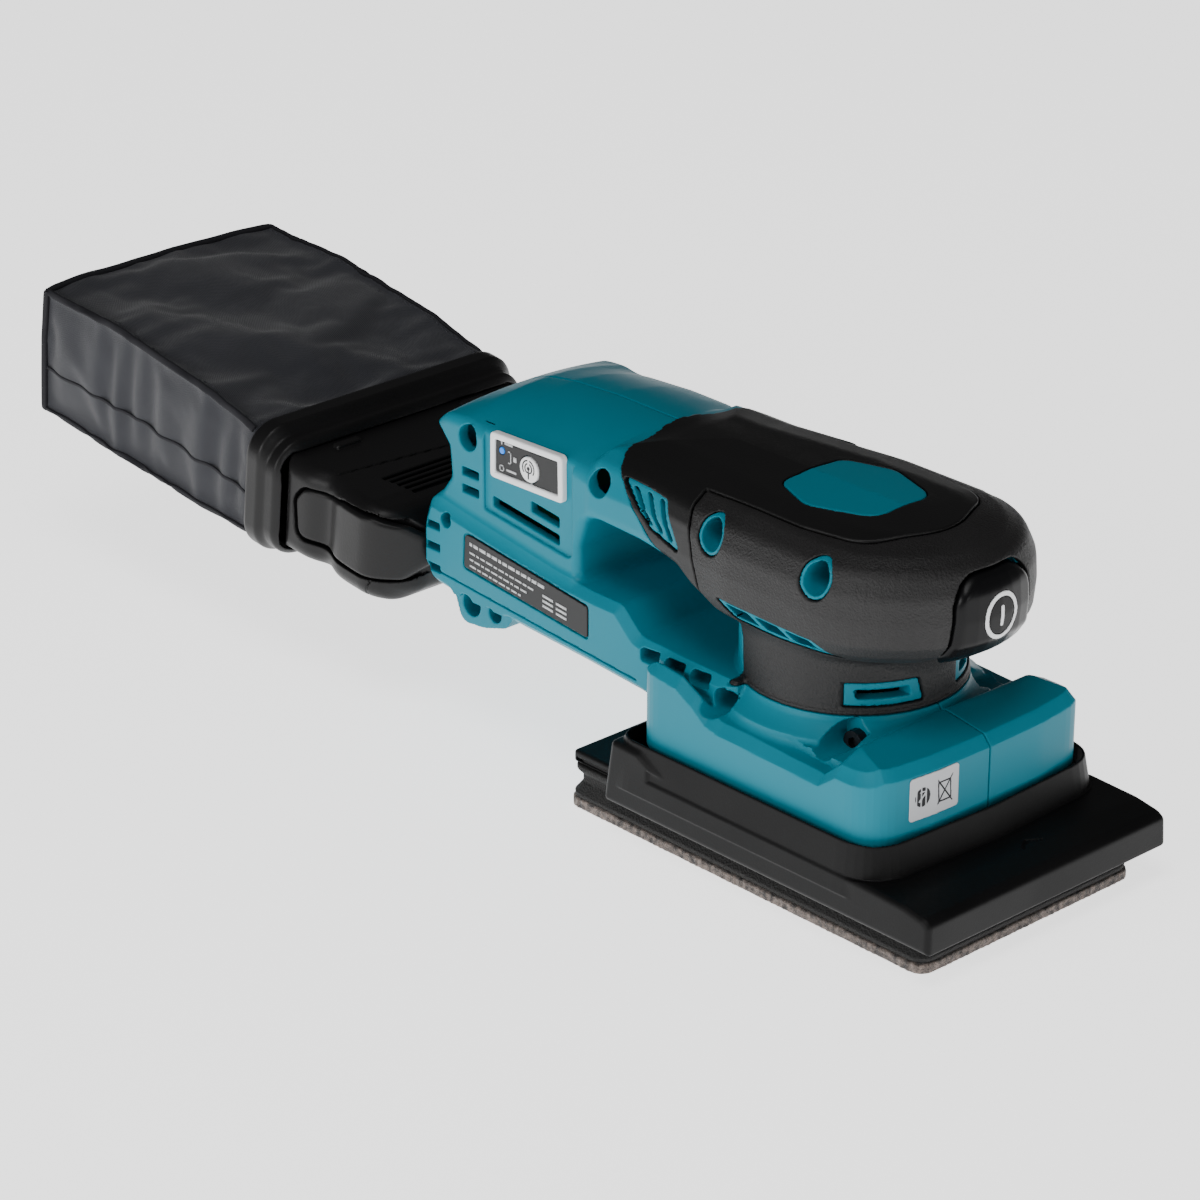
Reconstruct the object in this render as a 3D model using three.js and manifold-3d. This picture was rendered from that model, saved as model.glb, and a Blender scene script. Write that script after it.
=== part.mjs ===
// A palm and handle orbital finishing sander with a dust bag, in millimetres.
// The origin is the centre of the pad's sanding face. X is the width, +Y runs back to the bag, +Z is up.
import * as THREE from 'three';
import { mergeVertices } from 'three/addons/utils/BufferGeometryUtils.js';
import Module from 'manifold-3d';

const wasm = await Module();
wasm.setup();

// Driving dimensions
const PAD_HALF_WIDTH = 40.5;
const PAD_HALF_LENGTH = 66.5;
const ORBIT_RADIUS = 1.5;
const AXIS_Y = -ORBIT_RADIUS;
const GAP = 0.3;
const WALL = 2.4;
const BASE_HALF_WIDTH = 40.5;
const BASE_FRONT = -50;
const BASE_REAR = 39.4;
const NECK_RADIUS = 30.3;
const HANDLE_HALF_WIDTH = 31;
const BEAM_HALF_WIDTH = 33.5;
const SKIN = 2;
const BOX_PITCH = THREE.MathUtils.degToRad(6.5);
const BOX_Y = 135;
const BOX_Z = 50;
const BAG_WALL = 1.4;

const TEAL = 0x0092a4;
const BLACK = 0x17181a;
const STEEL = 0xb4b7ba;

const group = new THREE.Group();
const boxGroup = new THREE.Group();
boxGroup.position.set(0, BOX_Y, BOX_Z);
boxGroup.rotation.x = BOX_PITCH;
group.add(boxGroup);

// Turns a closed geometry into a solid that can be joined and cut.
function solid(geometry) {
  geometry.deleteAttribute('normal');
  geometry.deleteAttribute('uv');
  const merged = mergeVertices(geometry, 1e-4);
  return new wasm.Manifold(new wasm.Mesh({
    numProp: 3,
    vertProperties: new Float32Array(merged.attributes.position.array),
    triVerts: new Uint32Array(merged.index.array),
  }));
}

function addPiece(name, body, color, roughness = 0.5, metalness = 0, parent = group) {
  const mesh = body.getMesh();
  const geometry = new THREE.BufferGeometry();
  geometry.setAttribute('position', new THREE.BufferAttribute(new Float32Array(mesh.vertProperties), 3));
  geometry.setIndex(new THREE.BufferAttribute(new Uint32Array(mesh.triVerts), 1));
  geometry.computeVertexNormals();
  const piece = new THREE.Mesh(geometry, new THREE.MeshStandardMaterial({ color, roughness, metalness }));
  piece.name = name;
  parent.add(piece);
}

function box(x0, x1, y0, y1, z0, z1) {
  const geometry = new THREE.BoxGeometry(x1 - x0, y1 - y0, z1 - z0);
  geometry.translate((x0 + x1) / 2, (y0 + y1) / 2, (z0 + z1) / 2);
  return solid(geometry);
}

// A round bar standing on (x, y) from z0 to z1.
function post(x, y, z0, z1, radius, sides = 20, topRadius = radius) {
  const geometry = new THREE.CylinderGeometry(topRadius, radius, z1 - z0, sides);
  geometry.rotateX(Math.PI / 2);
  geometry.translate(x, y, (z0 + z1) / 2);
  return solid(geometry);
}

// A round bar along X through (y, z).
function crossBar(y, z, x0, x1, radius, sides = 12) {
  const geometry = new THREE.CylinderGeometry(radius, radius, x1 - x0, sides);
  geometry.rotateZ(Math.PI / 2);
  geometry.translate((x0 + x1) / 2, y, z);
  return solid(geometry);
}

// A ring standing on the axis (x, y).
function tube(x, y, z0, z1, outer, inner, sides = 24) {
  return post(x, y, z0, z1, outer, sides).subtract(post(x, y, z0 - 1, z1 + 1, inner, sides));
}

// A closed skin over rings that have the same number of points, with flat fans at both ends.
function loft(rings) {
  const count = rings[0].length;
  const positions = [];
  const index = [];
  for (const ring of rings) {
    for (const point of ring) positions.push(point.x, point.y, point.z);
  }
  for (let r = 0; r < rings.length - 1; r += 1) {
    for (let i = 0; i < count; i += 1) {
      const a = r * count + i;
      const b = r * count + (i + 1) % count;
      index.push(a, b, b + count, a, b + count, a + count);
    }
  }
  const ends = [[rings[0], 0, true], [rings[rings.length - 1], (rings.length - 1) * count, false]];
  for (const [ring, start, flip] of ends) {
    const centre = ring.reduce((sum, point) => sum.add(point), new THREE.Vector3()).divideScalar(count);
    const hub = positions.length / 3;
    positions.push(centre.x, centre.y, centre.z);
    for (let i = 0; i < count; i += 1) {
      const a = start + i;
      const b = start + (i + 1) % count;
      if (flip) index.push(hub, b, a);
      else index.push(hub, a, b);
    }
  }
  const geometry = new THREE.BufferGeometry();
  geometry.setAttribute('position', new THREE.Float32BufferAttribute(positions, 3));
  geometry.setIndex(index);
  return solid(geometry);
}

// A rounded rectangle at height z, counter-clockwise from above.
function planRing(z, halfWidth, front, rear, radius, steps = 4) {
  const points = [];
  const corners = [
    [halfWidth - radius, rear - radius, 0],
    [-halfWidth + radius, rear - radius, 90],
    [-halfWidth + radius, front + radius, 180],
    [halfWidth - radius, front + radius, 270],
  ];
  for (const [cx, cy, start] of corners) {
    for (let i = 0; i <= steps; i += 1) {
      const angle = THREE.MathUtils.degToRad(start + 90 * i / steps);
      points.push(new THREE.Vector3(cx + radius * Math.cos(angle), cy + radius * Math.sin(angle), z));
    }
  }
  return points;
}

// A rounded cross-section at station y: power sets how square it is.
function sectionRing(y, halfWidth, low, high, power, count = 24) {
  const points = [];
  const mid = (low + high) / 2;
  const half = (high - low) / 2;
  for (let i = 0; i < count; i += 1) {
    const angle = -2 * Math.PI * i / count;
    const c = Math.cos(angle);
    const s = Math.sin(angle);
    const x = Math.sign(c) * Math.abs(c) ** (2 / power) * halfWidth;
    const z = Math.sign(s) * Math.abs(s) ** (2 / power) * half;
    points.push(new THREE.Vector3(x, y, mid + z));
  }
  return points;
}

// A side outline in (y, z), drawn along X between x0 and x1 with rounded long edges.
function sideBody(outline, x0, x1, round = 0, steps = 3) {
  const shape = new THREE.Shape(outline.map(([y, z]) => new THREE.Vector2(y, z)));
  const geometry = new THREE.ExtrudeGeometry(shape, {
    depth: x1 - x0 - 2 * round,
    bevelEnabled: round > 0,
    bevelThickness: round,
    bevelSize: round,
    bevelOffset: -round,
    bevelSegments: steps,
  });
  const turn = new THREE.Matrix4().makeBasis(
    new THREE.Vector3(0, 1, 0), new THREE.Vector3(0, 0, 1), new THREE.Vector3(1, 0, 0));
  geometry.applyMatrix4(turn);
  geometry.translate(x0 + round, 0, 0);
  return solid(geometry);
}

// ---- Pad -------------------------------------------------------------------------------------
const FELT_TOP = 2.8;
const FOAM_TOP = 12.4;
const PLATE_LOW = 12.7;
const PLATE_TOP = 16.5;
const BEARING_LOW = 14.2;
const BEARING_TOP = 20.6;
const PAD_BEARING_RADIUS = 11;
const PIN_RADIUS = 4;
const SHROUD_HALF_WIDTH = 45.6;
const RING_HALF_WIDTH = 44.6;
const RING_WALL = 2;
const RING_FRONT = -54;
const RING_REAR = 45.6;
const RING_TOP = 30;
const SHROUD_SIDE = [
  [-72.7, 10.2], [47, 10.2], [47, 26.6], [40, 26.6], [27, 23.6], [7, 22], [-20, 22.2],
  [-46, 21.8], [-63, 21.3], [-71, 19.8], [-72.7, 18.6],
];

function hookFelt() {
  return loft([planRing(0, PAD_HALF_WIDTH, -PAD_HALF_LENGTH, PAD_HALF_LENGTH, 5),
    planRing(FELT_TOP, PAD_HALF_WIDTH, -PAD_HALF_LENGTH, PAD_HALF_LENGTH, 5)]);
}

function foamPad() {
  const profile = [[FELT_TOP + GAP, 0], [4.6, 0.4], [6.4, 1.8], [10.6, 2.4], [FOAM_TOP, 1.2]];
  return loft(profile.map(([z, inset]) => planRing(
    z, PAD_HALF_WIDTH - inset, -PAD_HALF_LENGTH + inset, PAD_HALF_LENGTH - inset, 5)));
}

function basePlate() {
  const plate = loft([planRing(PLATE_LOW, 39, -65, 65, 5), planRing(PLATE_TOP, 39, -65, 65, 5)]);
  const seatWall = post(0, 0, PLATE_TOP - 1, BEARING_TOP + 0.6, PAD_BEARING_RADIUS + 3);
  const seat = post(0, 0, BEARING_LOW - 0.4, BEARING_TOP + 2, PAD_BEARING_RADIUS + 0.15);
  return plate.add(seatWall).subtract(seat);
}

function padShroud() {
  const shell = sideBody(SHROUD_SIDE, -SHROUD_HALF_WIDTH, SHROUD_HALF_WIDTH, 0.6, 1);
  const band = loft([planRing(20, RING_HALF_WIDTH, RING_FRONT, RING_REAR, 14),
    planRing(RING_TOP, RING_HALF_WIDTH - 0.5, RING_FRONT + 0.5, RING_REAR - 0.5, 14)]);
  const well = loft([planRing(5, RING_HALF_WIDTH - RING_WALL, RING_FRONT + RING_WALL, RING_REAR - RING_WALL, 12),
    planRing(35, RING_HALF_WIDTH - RING_WALL, RING_FRONT + RING_WALL, RING_REAR - RING_WALL, 12)]);
  const hollow = box(-43.1, 43.1, -70.3, 50, 0, PLATE_TOP + 1.2);
  return shell.add(band).subtract(well).subtract(hollow);
}

// ---- Drive -----------------------------------------------------------------------------------
const SHAFT_RADIUS = 3;
const COUNTERWEIGHT_LOW = 22;
const COUNTERWEIGHT_TOP = 27;
const FAN_LOW = 30;
const FAN_TOP = 38;
const LOWER_BEARING_Z = 44;
const UPPER_BEARING_Z = 88;
const STATOR_LOW = 56;
const STATOR_TOP = 80;

function eccentric() {
  const hub = post(0, AXIS_Y, COUNTERWEIGHT_LOW, FAN_LOW - 1, 9);
  const disc = post(0, AXIS_Y, COUNTERWEIGHT_LOW, COUNTERWEIGHT_TOP, 24, 32);
  const heavySide = box(-30, 30, AXIS_Y - 30, AXIS_Y, COUNTERWEIGHT_LOW - 1, COUNTERWEIGHT_TOP + 1);
  const pin = post(0, 0, BEARING_LOW + 0.4, COUNTERWEIGHT_LOW + 1, PIN_RADIUS);
  const bore = post(0, AXIS_Y, COUNTERWEIGHT_LOW + 3, FAN_LOW, SHAFT_RADIUS + GAP);
  return hub.add(disc.intersect(heavySide)).add(pin).subtract(bore);
}

function fan() {
  const blades = 9;
  let wheel = post(0, AXIS_Y, FAN_LOW, FAN_LOW + 1.6, 31, 36).add(post(0, AXIS_Y, FAN_LOW, FAN_TOP, 7));
  for (let i = 0; i < blades; i += 1) {
    const blade = new THREE.BoxGeometry(24, 1.2, FAN_TOP - FAN_LOW - 1);
    blade.translate(17, 0, (FAN_LOW + FAN_TOP + 1) / 2);
    blade.rotateZ(2 * Math.PI * i / blades);
    blade.translate(0, AXIS_Y, 0);
    wheel = wheel.add(solid(blade));
  }
  return wheel.subtract(post(0, AXIS_Y, FAN_LOW - 1, FAN_TOP + 1, SHAFT_RADIUS + GAP));
}

function motorShaft() {
  return post(0, AXIS_Y, COUNTERWEIGHT_LOW + 3.3, UPPER_BEARING_Z + 8, SHAFT_RADIUS);
}

function stator() {
  const teeth = 6;
  let iron = tube(0, AXIS_Y, STATOR_LOW, STATOR_TOP, 22, 18, 30);
  for (let i = 0; i < teeth; i += 1) {
    const tooth = new THREE.BoxGeometry(7, 5, STATOR_TOP - STATOR_LOW);
    tooth.translate(15.5, 0, (STATOR_LOW + STATOR_TOP) / 2);
    tooth.rotateZ(2 * Math.PI * i / teeth);
    tooth.translate(0, AXIS_Y, 0);
    iron = iron.add(solid(tooth));
  }
  return iron;
}

// ---- Housing ---------------------------------------------------------------------------------
const NECK_STATIONS = [[44, 33.5], [51.5, 31.2], [54, NECK_RADIUS], [64, NECK_RADIUS], [70, 30.5]];
const HEAD_STATIONS = [
  [-52, 9, 76, 91, 2.4], [-50, 17.5, 73.5, 94, 2.5], [-45, 25, 70.5, 97.6, 2.6], [-37, 30.8, 68.2, 100, 2.8],
  [-25, 34.9, 66.2, 101.6, 2.9], [-10, 36, 65.5, 102.4, 3], [4, 36, 65.5, 102.4, 3],
  [16, 35, 68, 102.2, 3.1], [28, 33, 74, 101.9, 3.4], [44, 31.4, 80, 101.6, 4],
];
const GRIP_END = [[-90, 44], [12, 51.5], [13, 64], [23, 72.5], [31, 78], [38, 80], [54, 101], [54, 120], [-90, 120]];
const BASE_SIDE = [
  [-60, 20], [48, 20], [48, 53.3], [24, 53.3], [18, 49.5], [6, 51], [-27, 51.6], [-32, 51.6], [-47, 49.2],
  [-49.5, 48.6], [-60, 47.5],
];
const HANDLE_SIDE = [
  [20, 101.4], [20, 90], [40, 80.2], [51, 81], [64, 82], [69, 80], [72, 72], [71, 66], [71, 50], [131, 46],
  [134.4, 50], [134, 60], [132.6, 76], [130.6, 90], [127, 95.2], [118, 99.2], [106, 100.8], [88, 101.8],
  [60, 101.4],
];
const BEAM_SIDE = [
  [14, 30], [33, 31], [38, 37], [46, 38.3], [68, 39.8], [98, 41.4], [100, 37.4], [110, 34.8], [119, 33.8],
  [122, 42.2], [130, 43], [133.6, 47], [133.2, 60], [132, 70], [80, 69], [71, 68.5], [63, 60.7], [54, 60.7],
  [46, 54], [32, 53.4], [14, 53],
];
const HEAD_SCREWS = [[116.8, 91], [64.4, 92.2], [19, 93.5], [-20, 93]];
const LOW_SCREWS = [[13, 50.4], [-24, 45], [115.4, 40.6], [104.5, 41.6]];
const SPLIT = 0.15;

function headForm(shrink) {
  return loft(HEAD_STATIONS.map(([y, halfWidth, low, high, power]) => sectionRing(
    y + (y < 0 ? shrink : 0), halfWidth - shrink, low + shrink, high - shrink, power)));
}

function neckForm(shrink) {
  const rings = NECK_STATIONS.map(([z, radius]) => planRing(
    z, radius - shrink, AXIS_Y - radius + shrink, AXIS_Y + radius - shrink, radius - shrink - 0.01, 7));
  return loft(rings);
}

function baseForm() {
  const walls = loft([planRing(27.5, BASE_HALF_WIDTH - 0.6, BASE_FRONT + 0.6, BASE_REAR - 0.6, 12),
    planRing(29, BASE_HALF_WIDTH, BASE_FRONT, BASE_REAR, 12.5),
    planRing(47, BASE_HALF_WIDTH - 0.8, BASE_FRONT + 0.8, BASE_REAR - 0.6, 12.5),
    planRing(54, BASE_HALF_WIDTH - 9, BASE_FRONT + 9, BASE_REAR - 1, 14)]);
  return walls.intersect(sideBody(BASE_SIDE, -50, 50));
}

function outerForm() {
  return baseForm().add(neckForm(0)).add(headForm(0))
    .add(sideBody(HANDLE_SIDE, -HANDLE_HALF_WIDTH, HANDLE_HALF_WIDTH, 3.4, 2))
    .add(sideBody(BEAM_SIDE, -BEAM_HALF_WIDTH, BEAM_HALF_WIDTH, 2.2, 2));
}

function cavity() {
  const fanChamber = loft([planRing(20, BASE_HALF_WIDTH - WALL, BASE_FRONT + WALL, BASE_REAR - WALL, 11),
    planRing(42, BASE_HALF_WIDTH - WALL, BASE_FRONT + WALL, BASE_REAR - WALL, 11)]);
  const motorSpace = post(0, AXIS_Y, 46.6, 86.4, 25.6, 30);
  const bearingSeats = post(0, AXIS_Y, LOWER_BEARING_Z, 50, 9.4).add(post(0, AXIS_Y, 84, UPPER_BEARING_Z + 5.6, 9.4));
  const shaftRoom = post(0, AXIS_Y, 40, 97, 5);
  const handleSpace = box(-27.6, 27.6, 50, 126, 84.6, 96.4).add(box(-12, 12, 8, 52, 84.6, 95));
  const rearSpace = box(-27.6, 27.6, 80, 126, 60, 90);
  const duct = box(-19, 19, 20, 145, 44.5, 51.5).add(box(-19, 19, 20, 34, 36, 51));
  const switchSpace = box(-15, 15, -60, -28, 74.5, 93.5);
  return fanChamber.add(motorSpace).add(bearingSeats).add(shaftRoom).add(handleSpace).add(rearSpace)
    .add(duct).add(switchSpace);
}

function sideVents() {
  let cuts = null;
  const add = (piece) => {
    cuts = cuts ? cuts.add(piece) : piece;
  };
  for (const side of [-1, 1]) {
    const slot = (outline, inner, outer) => {
      const low = Math.min(side * inner, side * outer);
      const high = Math.max(side * inner, side * outer);
      add(sideBody(outline, low, high));
    };
    for (let i = 0; i < 3; i += 1) {
      const y = 55.5 - 5 * i;
      slot([[y, 94.5], [y - 2.6, 94.5], [y - 9.4, 84.8], [y - 6.8, 84.8]], 25, 40);
    }
    for (const [y, z] of [[38, 50.6], [30, 50.2], [22, 50.8]]) {
      slot([[y - 3, z - 1.6], [y + 3, z - 1.6], [y + 3, z + 1.6], [y - 3, z + 1.6]], 17, 40);
    }
    for (const [y0, y1, z] of [[81, 107, 70], [81, 107, 74.6], [112, 119, 79.2], [112, 119, 74.6]]) {
      slot([[y0, z - 1.4], [y1, z - 1.4], [y1, z + 1.4], [y0, z + 1.4]], 25, 40);
    }
    for (const z of [48, 55, 62]) slot([[127, z - 1.6], [140, z - 1.6], [140, z + 1.6], [127, z + 1.6]], 24.5, 40);
  }
  return cuts;
}

function screwRoom(y, z) {
  return crossBar(y, z, -60, -20, 3.9).add(crossBar(y, z, -30, 14, 2.3));
}

function screwBosses() {
  let bosses = null;
  for (const [y, z] of [...HEAD_SCREWS, ...LOW_SCREWS]) {
    const boss = crossBar(y, z, -27.8, 27.8, 5.6);
    bosses = bosses ? bosses.add(boss) : boss;
  }
  return bosses;
}

function housingScrew(y, z) {
  const head = crossBar(y, z, -23.2, -20.2, 3.4).subtract(crossBar(y, z, -24, -21.6, 1.7, 6));
  return head.add(crossBar(y, z, -20.6, 13.4, 1.9, 10));
}

// ---- Small fitted parts ----------------------------------------------------------------------
const BUTTON_Z = 82;
const PANEL_OUTLINE = [[77.6, 84], [106.6, 83.2], [106.4, 95], [77.8, 96]];
const LABEL_OUTLINE = [[65.4, 47.6], [115.9, 52.3], [115.2, 62.2], [65.4, 56.8]];
const TOP_PANEL_Z = 98.6;

function outset(outline, distance) {
  const middle = outline.reduce(([y, z], [a, b]) => [y + a / outline.length, z + b / outline.length], [0, 0]);
  return outline.map(([y, z]) => [y + Math.sign(y - middle[0]) * distance, z + Math.sign(z - middle[1]) * distance]);
}

function buttonForm(grow) {
  const rings = [-62, -30].map((y) => sectionRing(y, 13 + grow, BUTTON_Z - 10 - grow, BUTTON_Z + 10 + grow, 2.6, 24));
  return loft(rings);
}

function topPanelForm(grow) {
  return loft([planRing(TOP_PANEL_Z - grow, 24 + grow, -34 - grow, 53 + grow, 14),
    planRing(106, 24 + grow, -34 - grow, 53 + grow, 14)]);
}

function badgeForm(grow) {
  return loft([planRing(101 - grow, 14.5 + grow, -17.5 - grow, 15.5 + grow, 7),
    planRing(106, 14.5 + grow, -17.5 - grow, 15.5 + grow, 7)]);
}

const PANEL_X = -HANDLE_HALF_WIDTH;
const panelRecess = sideBody(outset(PANEL_OUTLINE, GAP), PANEL_X - 5, PANEL_X + 2.2);
const labelRecess = sideBody(outset(LABEL_OUTLINE, GAP), -40, -BEAM_HALF_WIDTH + 0.8);
const frontLabelRecess = box(-29, -11.4, BASE_FRONT - 2, BASE_FRONT + 0.7, 33, 46);
const portRecess = box(-23.3, 23.3, 126.5, 140, 40.7, 55.3).subtract(box(-30, 30, 120, 128.2, 30, 60));
const inletRecess = box(-10.3, 10.3, 124, 140, 69.7, 86.3);

const outer = outerForm();
const coreForm = (shrink) => neckForm(shrink).add(headForm(shrink))
  .add(post(0, AXIS_Y, 60, 84, NECK_RADIUS - shrink, 28));
const gripRegion = sideBody(GRIP_END, -50, 50);
const gripInside = sideBody(GRIP_END.map(([y, z]) => [y - GAP, z + GAP]), -50, 50);
const gripSkin = neckForm(0).add(headForm(0)).intersect(gripInside).subtract(coreForm(SKIN))
  .subtract(box(-60, 60, -70, 60, 0, 51.9));
const gripRoom = gripRegion.subtract(coreForm(SKIN + GAP)).subtract(box(-60, 60, -70, 60, 0, 51.6));

let housing = outer.subtract(cavity()).add(screwBosses().intersect(outer)).subtract(gripRoom).subtract(sideVents())
  .subtract(buttonForm(0.5)).subtract(topPanelForm(GAP)).subtract(panelRecess).subtract(labelRecess)
  .subtract(frontLabelRecess).subtract(portRecess).subtract(inletRecess)
  .subtract(post(0, AXIS_Y, 40, 97, 5)).subtract(post(0, AXIS_Y, 46.6, 86.4, 25.6, 30))
  .subtract(crossBar(123, 63.8, -60, 60, 2.2));
let grips = gripSkin.subtract(buttonForm(0.5)).subtract(topPanelForm(GAP));
for (const [y, z] of [...HEAD_SCREWS, ...LOW_SCREWS]) {
  housing = housing.subtract(screwRoom(y, z));
  grips = grips.subtract(screwRoom(y, z));
}
const windows = [[[-19, 70.2], [13, 73.8], [10, 75.6], [-14, 73]]];
for (const outline of windows) {
  const cut = sideBody(outline, -60, 60);
  grips = grips.subtract(cut);
}
const neckWindow = box(-24, -6, -50, -24, 55, 60.5).add(box(8, 17, -50, -24, 55, 60.5));
grips = grips.subtract(neckWindow);
housing = housing.subtract(box(-22, -8, -50, -24, 56.4, 59));

const leftHalf = box(-80, -SPLIT, -120, 200, 0, 130);
const rightHalf = box(SPLIT, 80, -120, 200, 0, 130);

// The largest body of a cut, without loose slivers.
function mainBody(body) {
  const bodies = body.decompose();
  bodies.sort((a, b) => b.volume() - a.volume());
  return bodies[0];
}

addPiece('hook_felt', hookFelt(), 0x5b524c, 0.95);
addPiece('foam_pad', foamPad(), 0x1b1b1c, 0.8);
addPiece('base_plate', basePlate(), 0x2a2b2d, 0.45);
addPiece('pad_shroud', padShroud(), BLACK, 0.38);
addPiece('pad_bearing_outer', tube(0, 0, BEARING_LOW, BEARING_TOP, PAD_BEARING_RADIUS, 8.2), STEEL, 0.25, 1);
addPiece('pad_bearing_inner', tube(0, 0, BEARING_LOW, BEARING_TOP, 7.8, PIN_RADIUS + 0.15), STEEL, 0.25, 1);
addPiece('eccentric', eccentric(), 0x8d8f92, 0.4, 1);
addPiece('fan', fan(), 0x2c2d30, 0.5);
addPiece('motor_shaft', motorShaft(), STEEL, 0.2, 1);
addPiece('rotor', tube(0, AXIS_Y, STATOR_LOW - 1, STATOR_TOP + 1, 11.4, SHAFT_RADIUS + GAP), 0x6f7276, 0.4, 1);
addPiece('stator', stator(), 0x9a6a3c, 0.5, 0.6);
addPiece('lower_bearing', tube(0, AXIS_Y, LOWER_BEARING_Z + 0.3, 49.4, 9.1, SHAFT_RADIUS + GAP), STEEL, 0.25, 1);
addPiece('upper_bearing', tube(0, AXIS_Y, UPPER_BEARING_Z, UPPER_BEARING_Z + 5, 9.1, SHAFT_RADIUS + GAP), STEEL, 0.25, 1);

addPiece('housing_left', mainBody(housing.intersect(leftHalf)), TEAL, 0.42);
addPiece('housing_right', mainBody(housing.intersect(rightHalf)), TEAL, 0.42);
addPiece('grip_left', mainBody(grips.intersect(leftHalf)), BLACK, 0.75);
addPiece('grip_right', mainBody(grips.intersect(rightHalf)), BLACK, 0.75);
const topPanel = headForm(0).intersect(topPanelForm(0)).subtract(badgeForm(GAP));
addPiece('top_grip_panel', mainBody(topPanel), BLACK, 0.55);
addPiece('top_badge', headForm(-0.3).intersect(badgeForm(0)), TEAL, 0.4);

for (const [i, [y, z]] of [...HEAD_SCREWS, ...LOW_SCREWS].entries()) {
  addPiece(`housing_screw_${i + 1}`, housingScrew(y, z), 0x3a3b3d, 0.35, 1);
}

const buttonCap = buttonForm(0).intersect(headForm(-1.2)).subtract(box(-30, 30, -46, -20, 60, 110));
addPiece('power_button', mainBody(buttonCap), 0x111214, 0.35);
addPiece('switch_module', box(-9, 9, -40.5, -29, 76, 90), 0x26282b, 0.5);
addPiece('controller_board', box(-23, 23, 84, 116, 66, 67.8), 0x1d5a3a, 0.5);
addPiece('power_inlet', box(-10, 10, 124.6, 132, 70, 86).subtract(box(-7, 7, 127, 136, 73, 83)), 0x141516, 0.5);
const bezel = sideBody(PANEL_OUTLINE, PANEL_X - 0.6, PANEL_X + 1.6)
  .subtract(sideBody(outset(PANEL_OUTLINE, -1.1), PANEL_X - 2, PANEL_X + 4));
addPiece('control_bezel', bezel, 0xe9ebec, 0.4);
const face = sideBody(outset(PANEL_OUTLINE, -1.4), PANEL_X - 0.2, PANEL_X + 1.6)
  .subtract(crossBar(87.5, 89.6, PANEL_X - 4, PANEL_X + 4, 3.9, 20))
  .subtract(crossBar(99.5, 92, PANEL_X - 4, PANEL_X + 4, 1.5, 10));
addPiece('control_face', face, 0x16181b, 0.3);
addPiece('wireless_button', crossBar(87.5, 89.6, PANEL_X - 0.7, PANEL_X + 1.2, 3.5, 20), 0xf2f3f4, 0.4);
addPiece('status_led', crossBar(99.5, 92, PANEL_X - 0.4, PANEL_X + 1.2, 1.2, 10), 0x1d6fe0, 0.2);
addPiece('rating_label', sideBody(LABEL_OUTLINE, -BEAM_HALF_WIDTH, -BEAM_HALF_WIDTH + 0.5), 0x1a1b1d, 0.45);
addPiece('front_label', box(-28.7, -11.7, BASE_FRONT + 0.1, BASE_FRONT + 0.4, 33.3, 45.7), 0xc9cbcc, 0.5);
const seal = box(-23, 23, 128.5, 131.4, 41, 55).subtract(box(-19, 19, 120, 140, 44.5, 51.5));
addPiece('duct_seal', seal, 0x202124, 0.9);

const POSTS = [[-27, 24], [27, 24], [-27, -38], [27, -38]];
for (const [i, [x, y]] of POSTS.entries()) {
  addPiece(`support_post_${i + 1}`, post(x, y, PLATE_TOP + GAP, 41.7, 5, 16), 0x232325, 0.9);
}

// ---- Dust box --------------------------------------------------------------------------------
const HEAD_LENGTH = 49;
const FRAME_START = 49.4;
const FRAME_END = 60;
const BAG_START = 52;
const BAG_LENGTH = 114;
const BOX_WALL = 2.5;
const LATCH_X = 42.6;
const LATCH_THICK = 3.4;
const LATCH_PIN_X = LATCH_X + LATCH_THICK / 2;
const LATCH_PIVOT = 27;
const LATCH_OUTLINE = [[-1, -4], [5, -8.8], [15, -9.2], [39, -9.2], [40, 3], [34, 7.4], [6, 7.4], [-1, 5]];

function boxSection(y, halfWidth, low, high, power = 5) {
  return sectionRing(y, halfWidth, low, high, power, 24);
}

function boxHead() {
  const stations = [[0.5, 35, -13.5, 8.5], [3, 37.5, -15, 10.5], [11, 40, -16.2, 12.2], [24, 41.2, -16.8, 12.6],
    [HEAD_LENGTH, 41.2, -17, 12.8]];
  const shell = loft(stations.map(([y, w, low, high]) => boxSection(y, w, low, high)));
  const room = loft(stations.map(([y, w, low, high], i) => boxSection(
    i === 0 ? y + BOX_WALL : y + (i === stations.length - 1 ? 2 : 0), w - BOX_WALL, low + BOX_WALL, high - BOX_WALL)));
  const mouth = box(-18, 18, -5, 6, -5.2, 1);
  let head = shell.subtract(room).add(box(-21, 21, -3, 3, -7.4, 3.6)).subtract(mouth);
  for (const side of [-1, 1]) {
    for (const z of [-12.4, 8.2]) {
      const near = side * 36.5;
      const far = side * (LATCH_X + LATCH_THICK);
      const ear = box(Math.min(near, far), Math.max(near, far), LATCH_PIVOT - 3.5, LATCH_PIVOT + 3.5, z, z + 2.4);
      head = head.add(ear);
    }
    head = head.subtract(post(side * LATCH_PIN_X, LATCH_PIVOT, -16, 14, 1.25, 12)
      .subtract(post(side * LATCH_PIN_X, LATCH_PIVOT, -9.8, 8, 1.3, 12)));
  }
  return head;
}

function boxFrame() {
  const band = loft([boxSection(FRAME_START, 46.4, -19.4, 15), boxSection(FRAME_START + 4, 48.2, -20.8, 17.6),
    boxSection(FRAME_END - 1, 48.6, -21.2, 19), boxSection(FRAME_END, 47.8, -20.6, 18.4)]);
  return band.subtract(loft([boxSection(FRAME_START - 2, 41.6, -17, 12.6), boxSection(FRAME_END + 2, 42, -17.4, 14.6)]));
}

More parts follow.
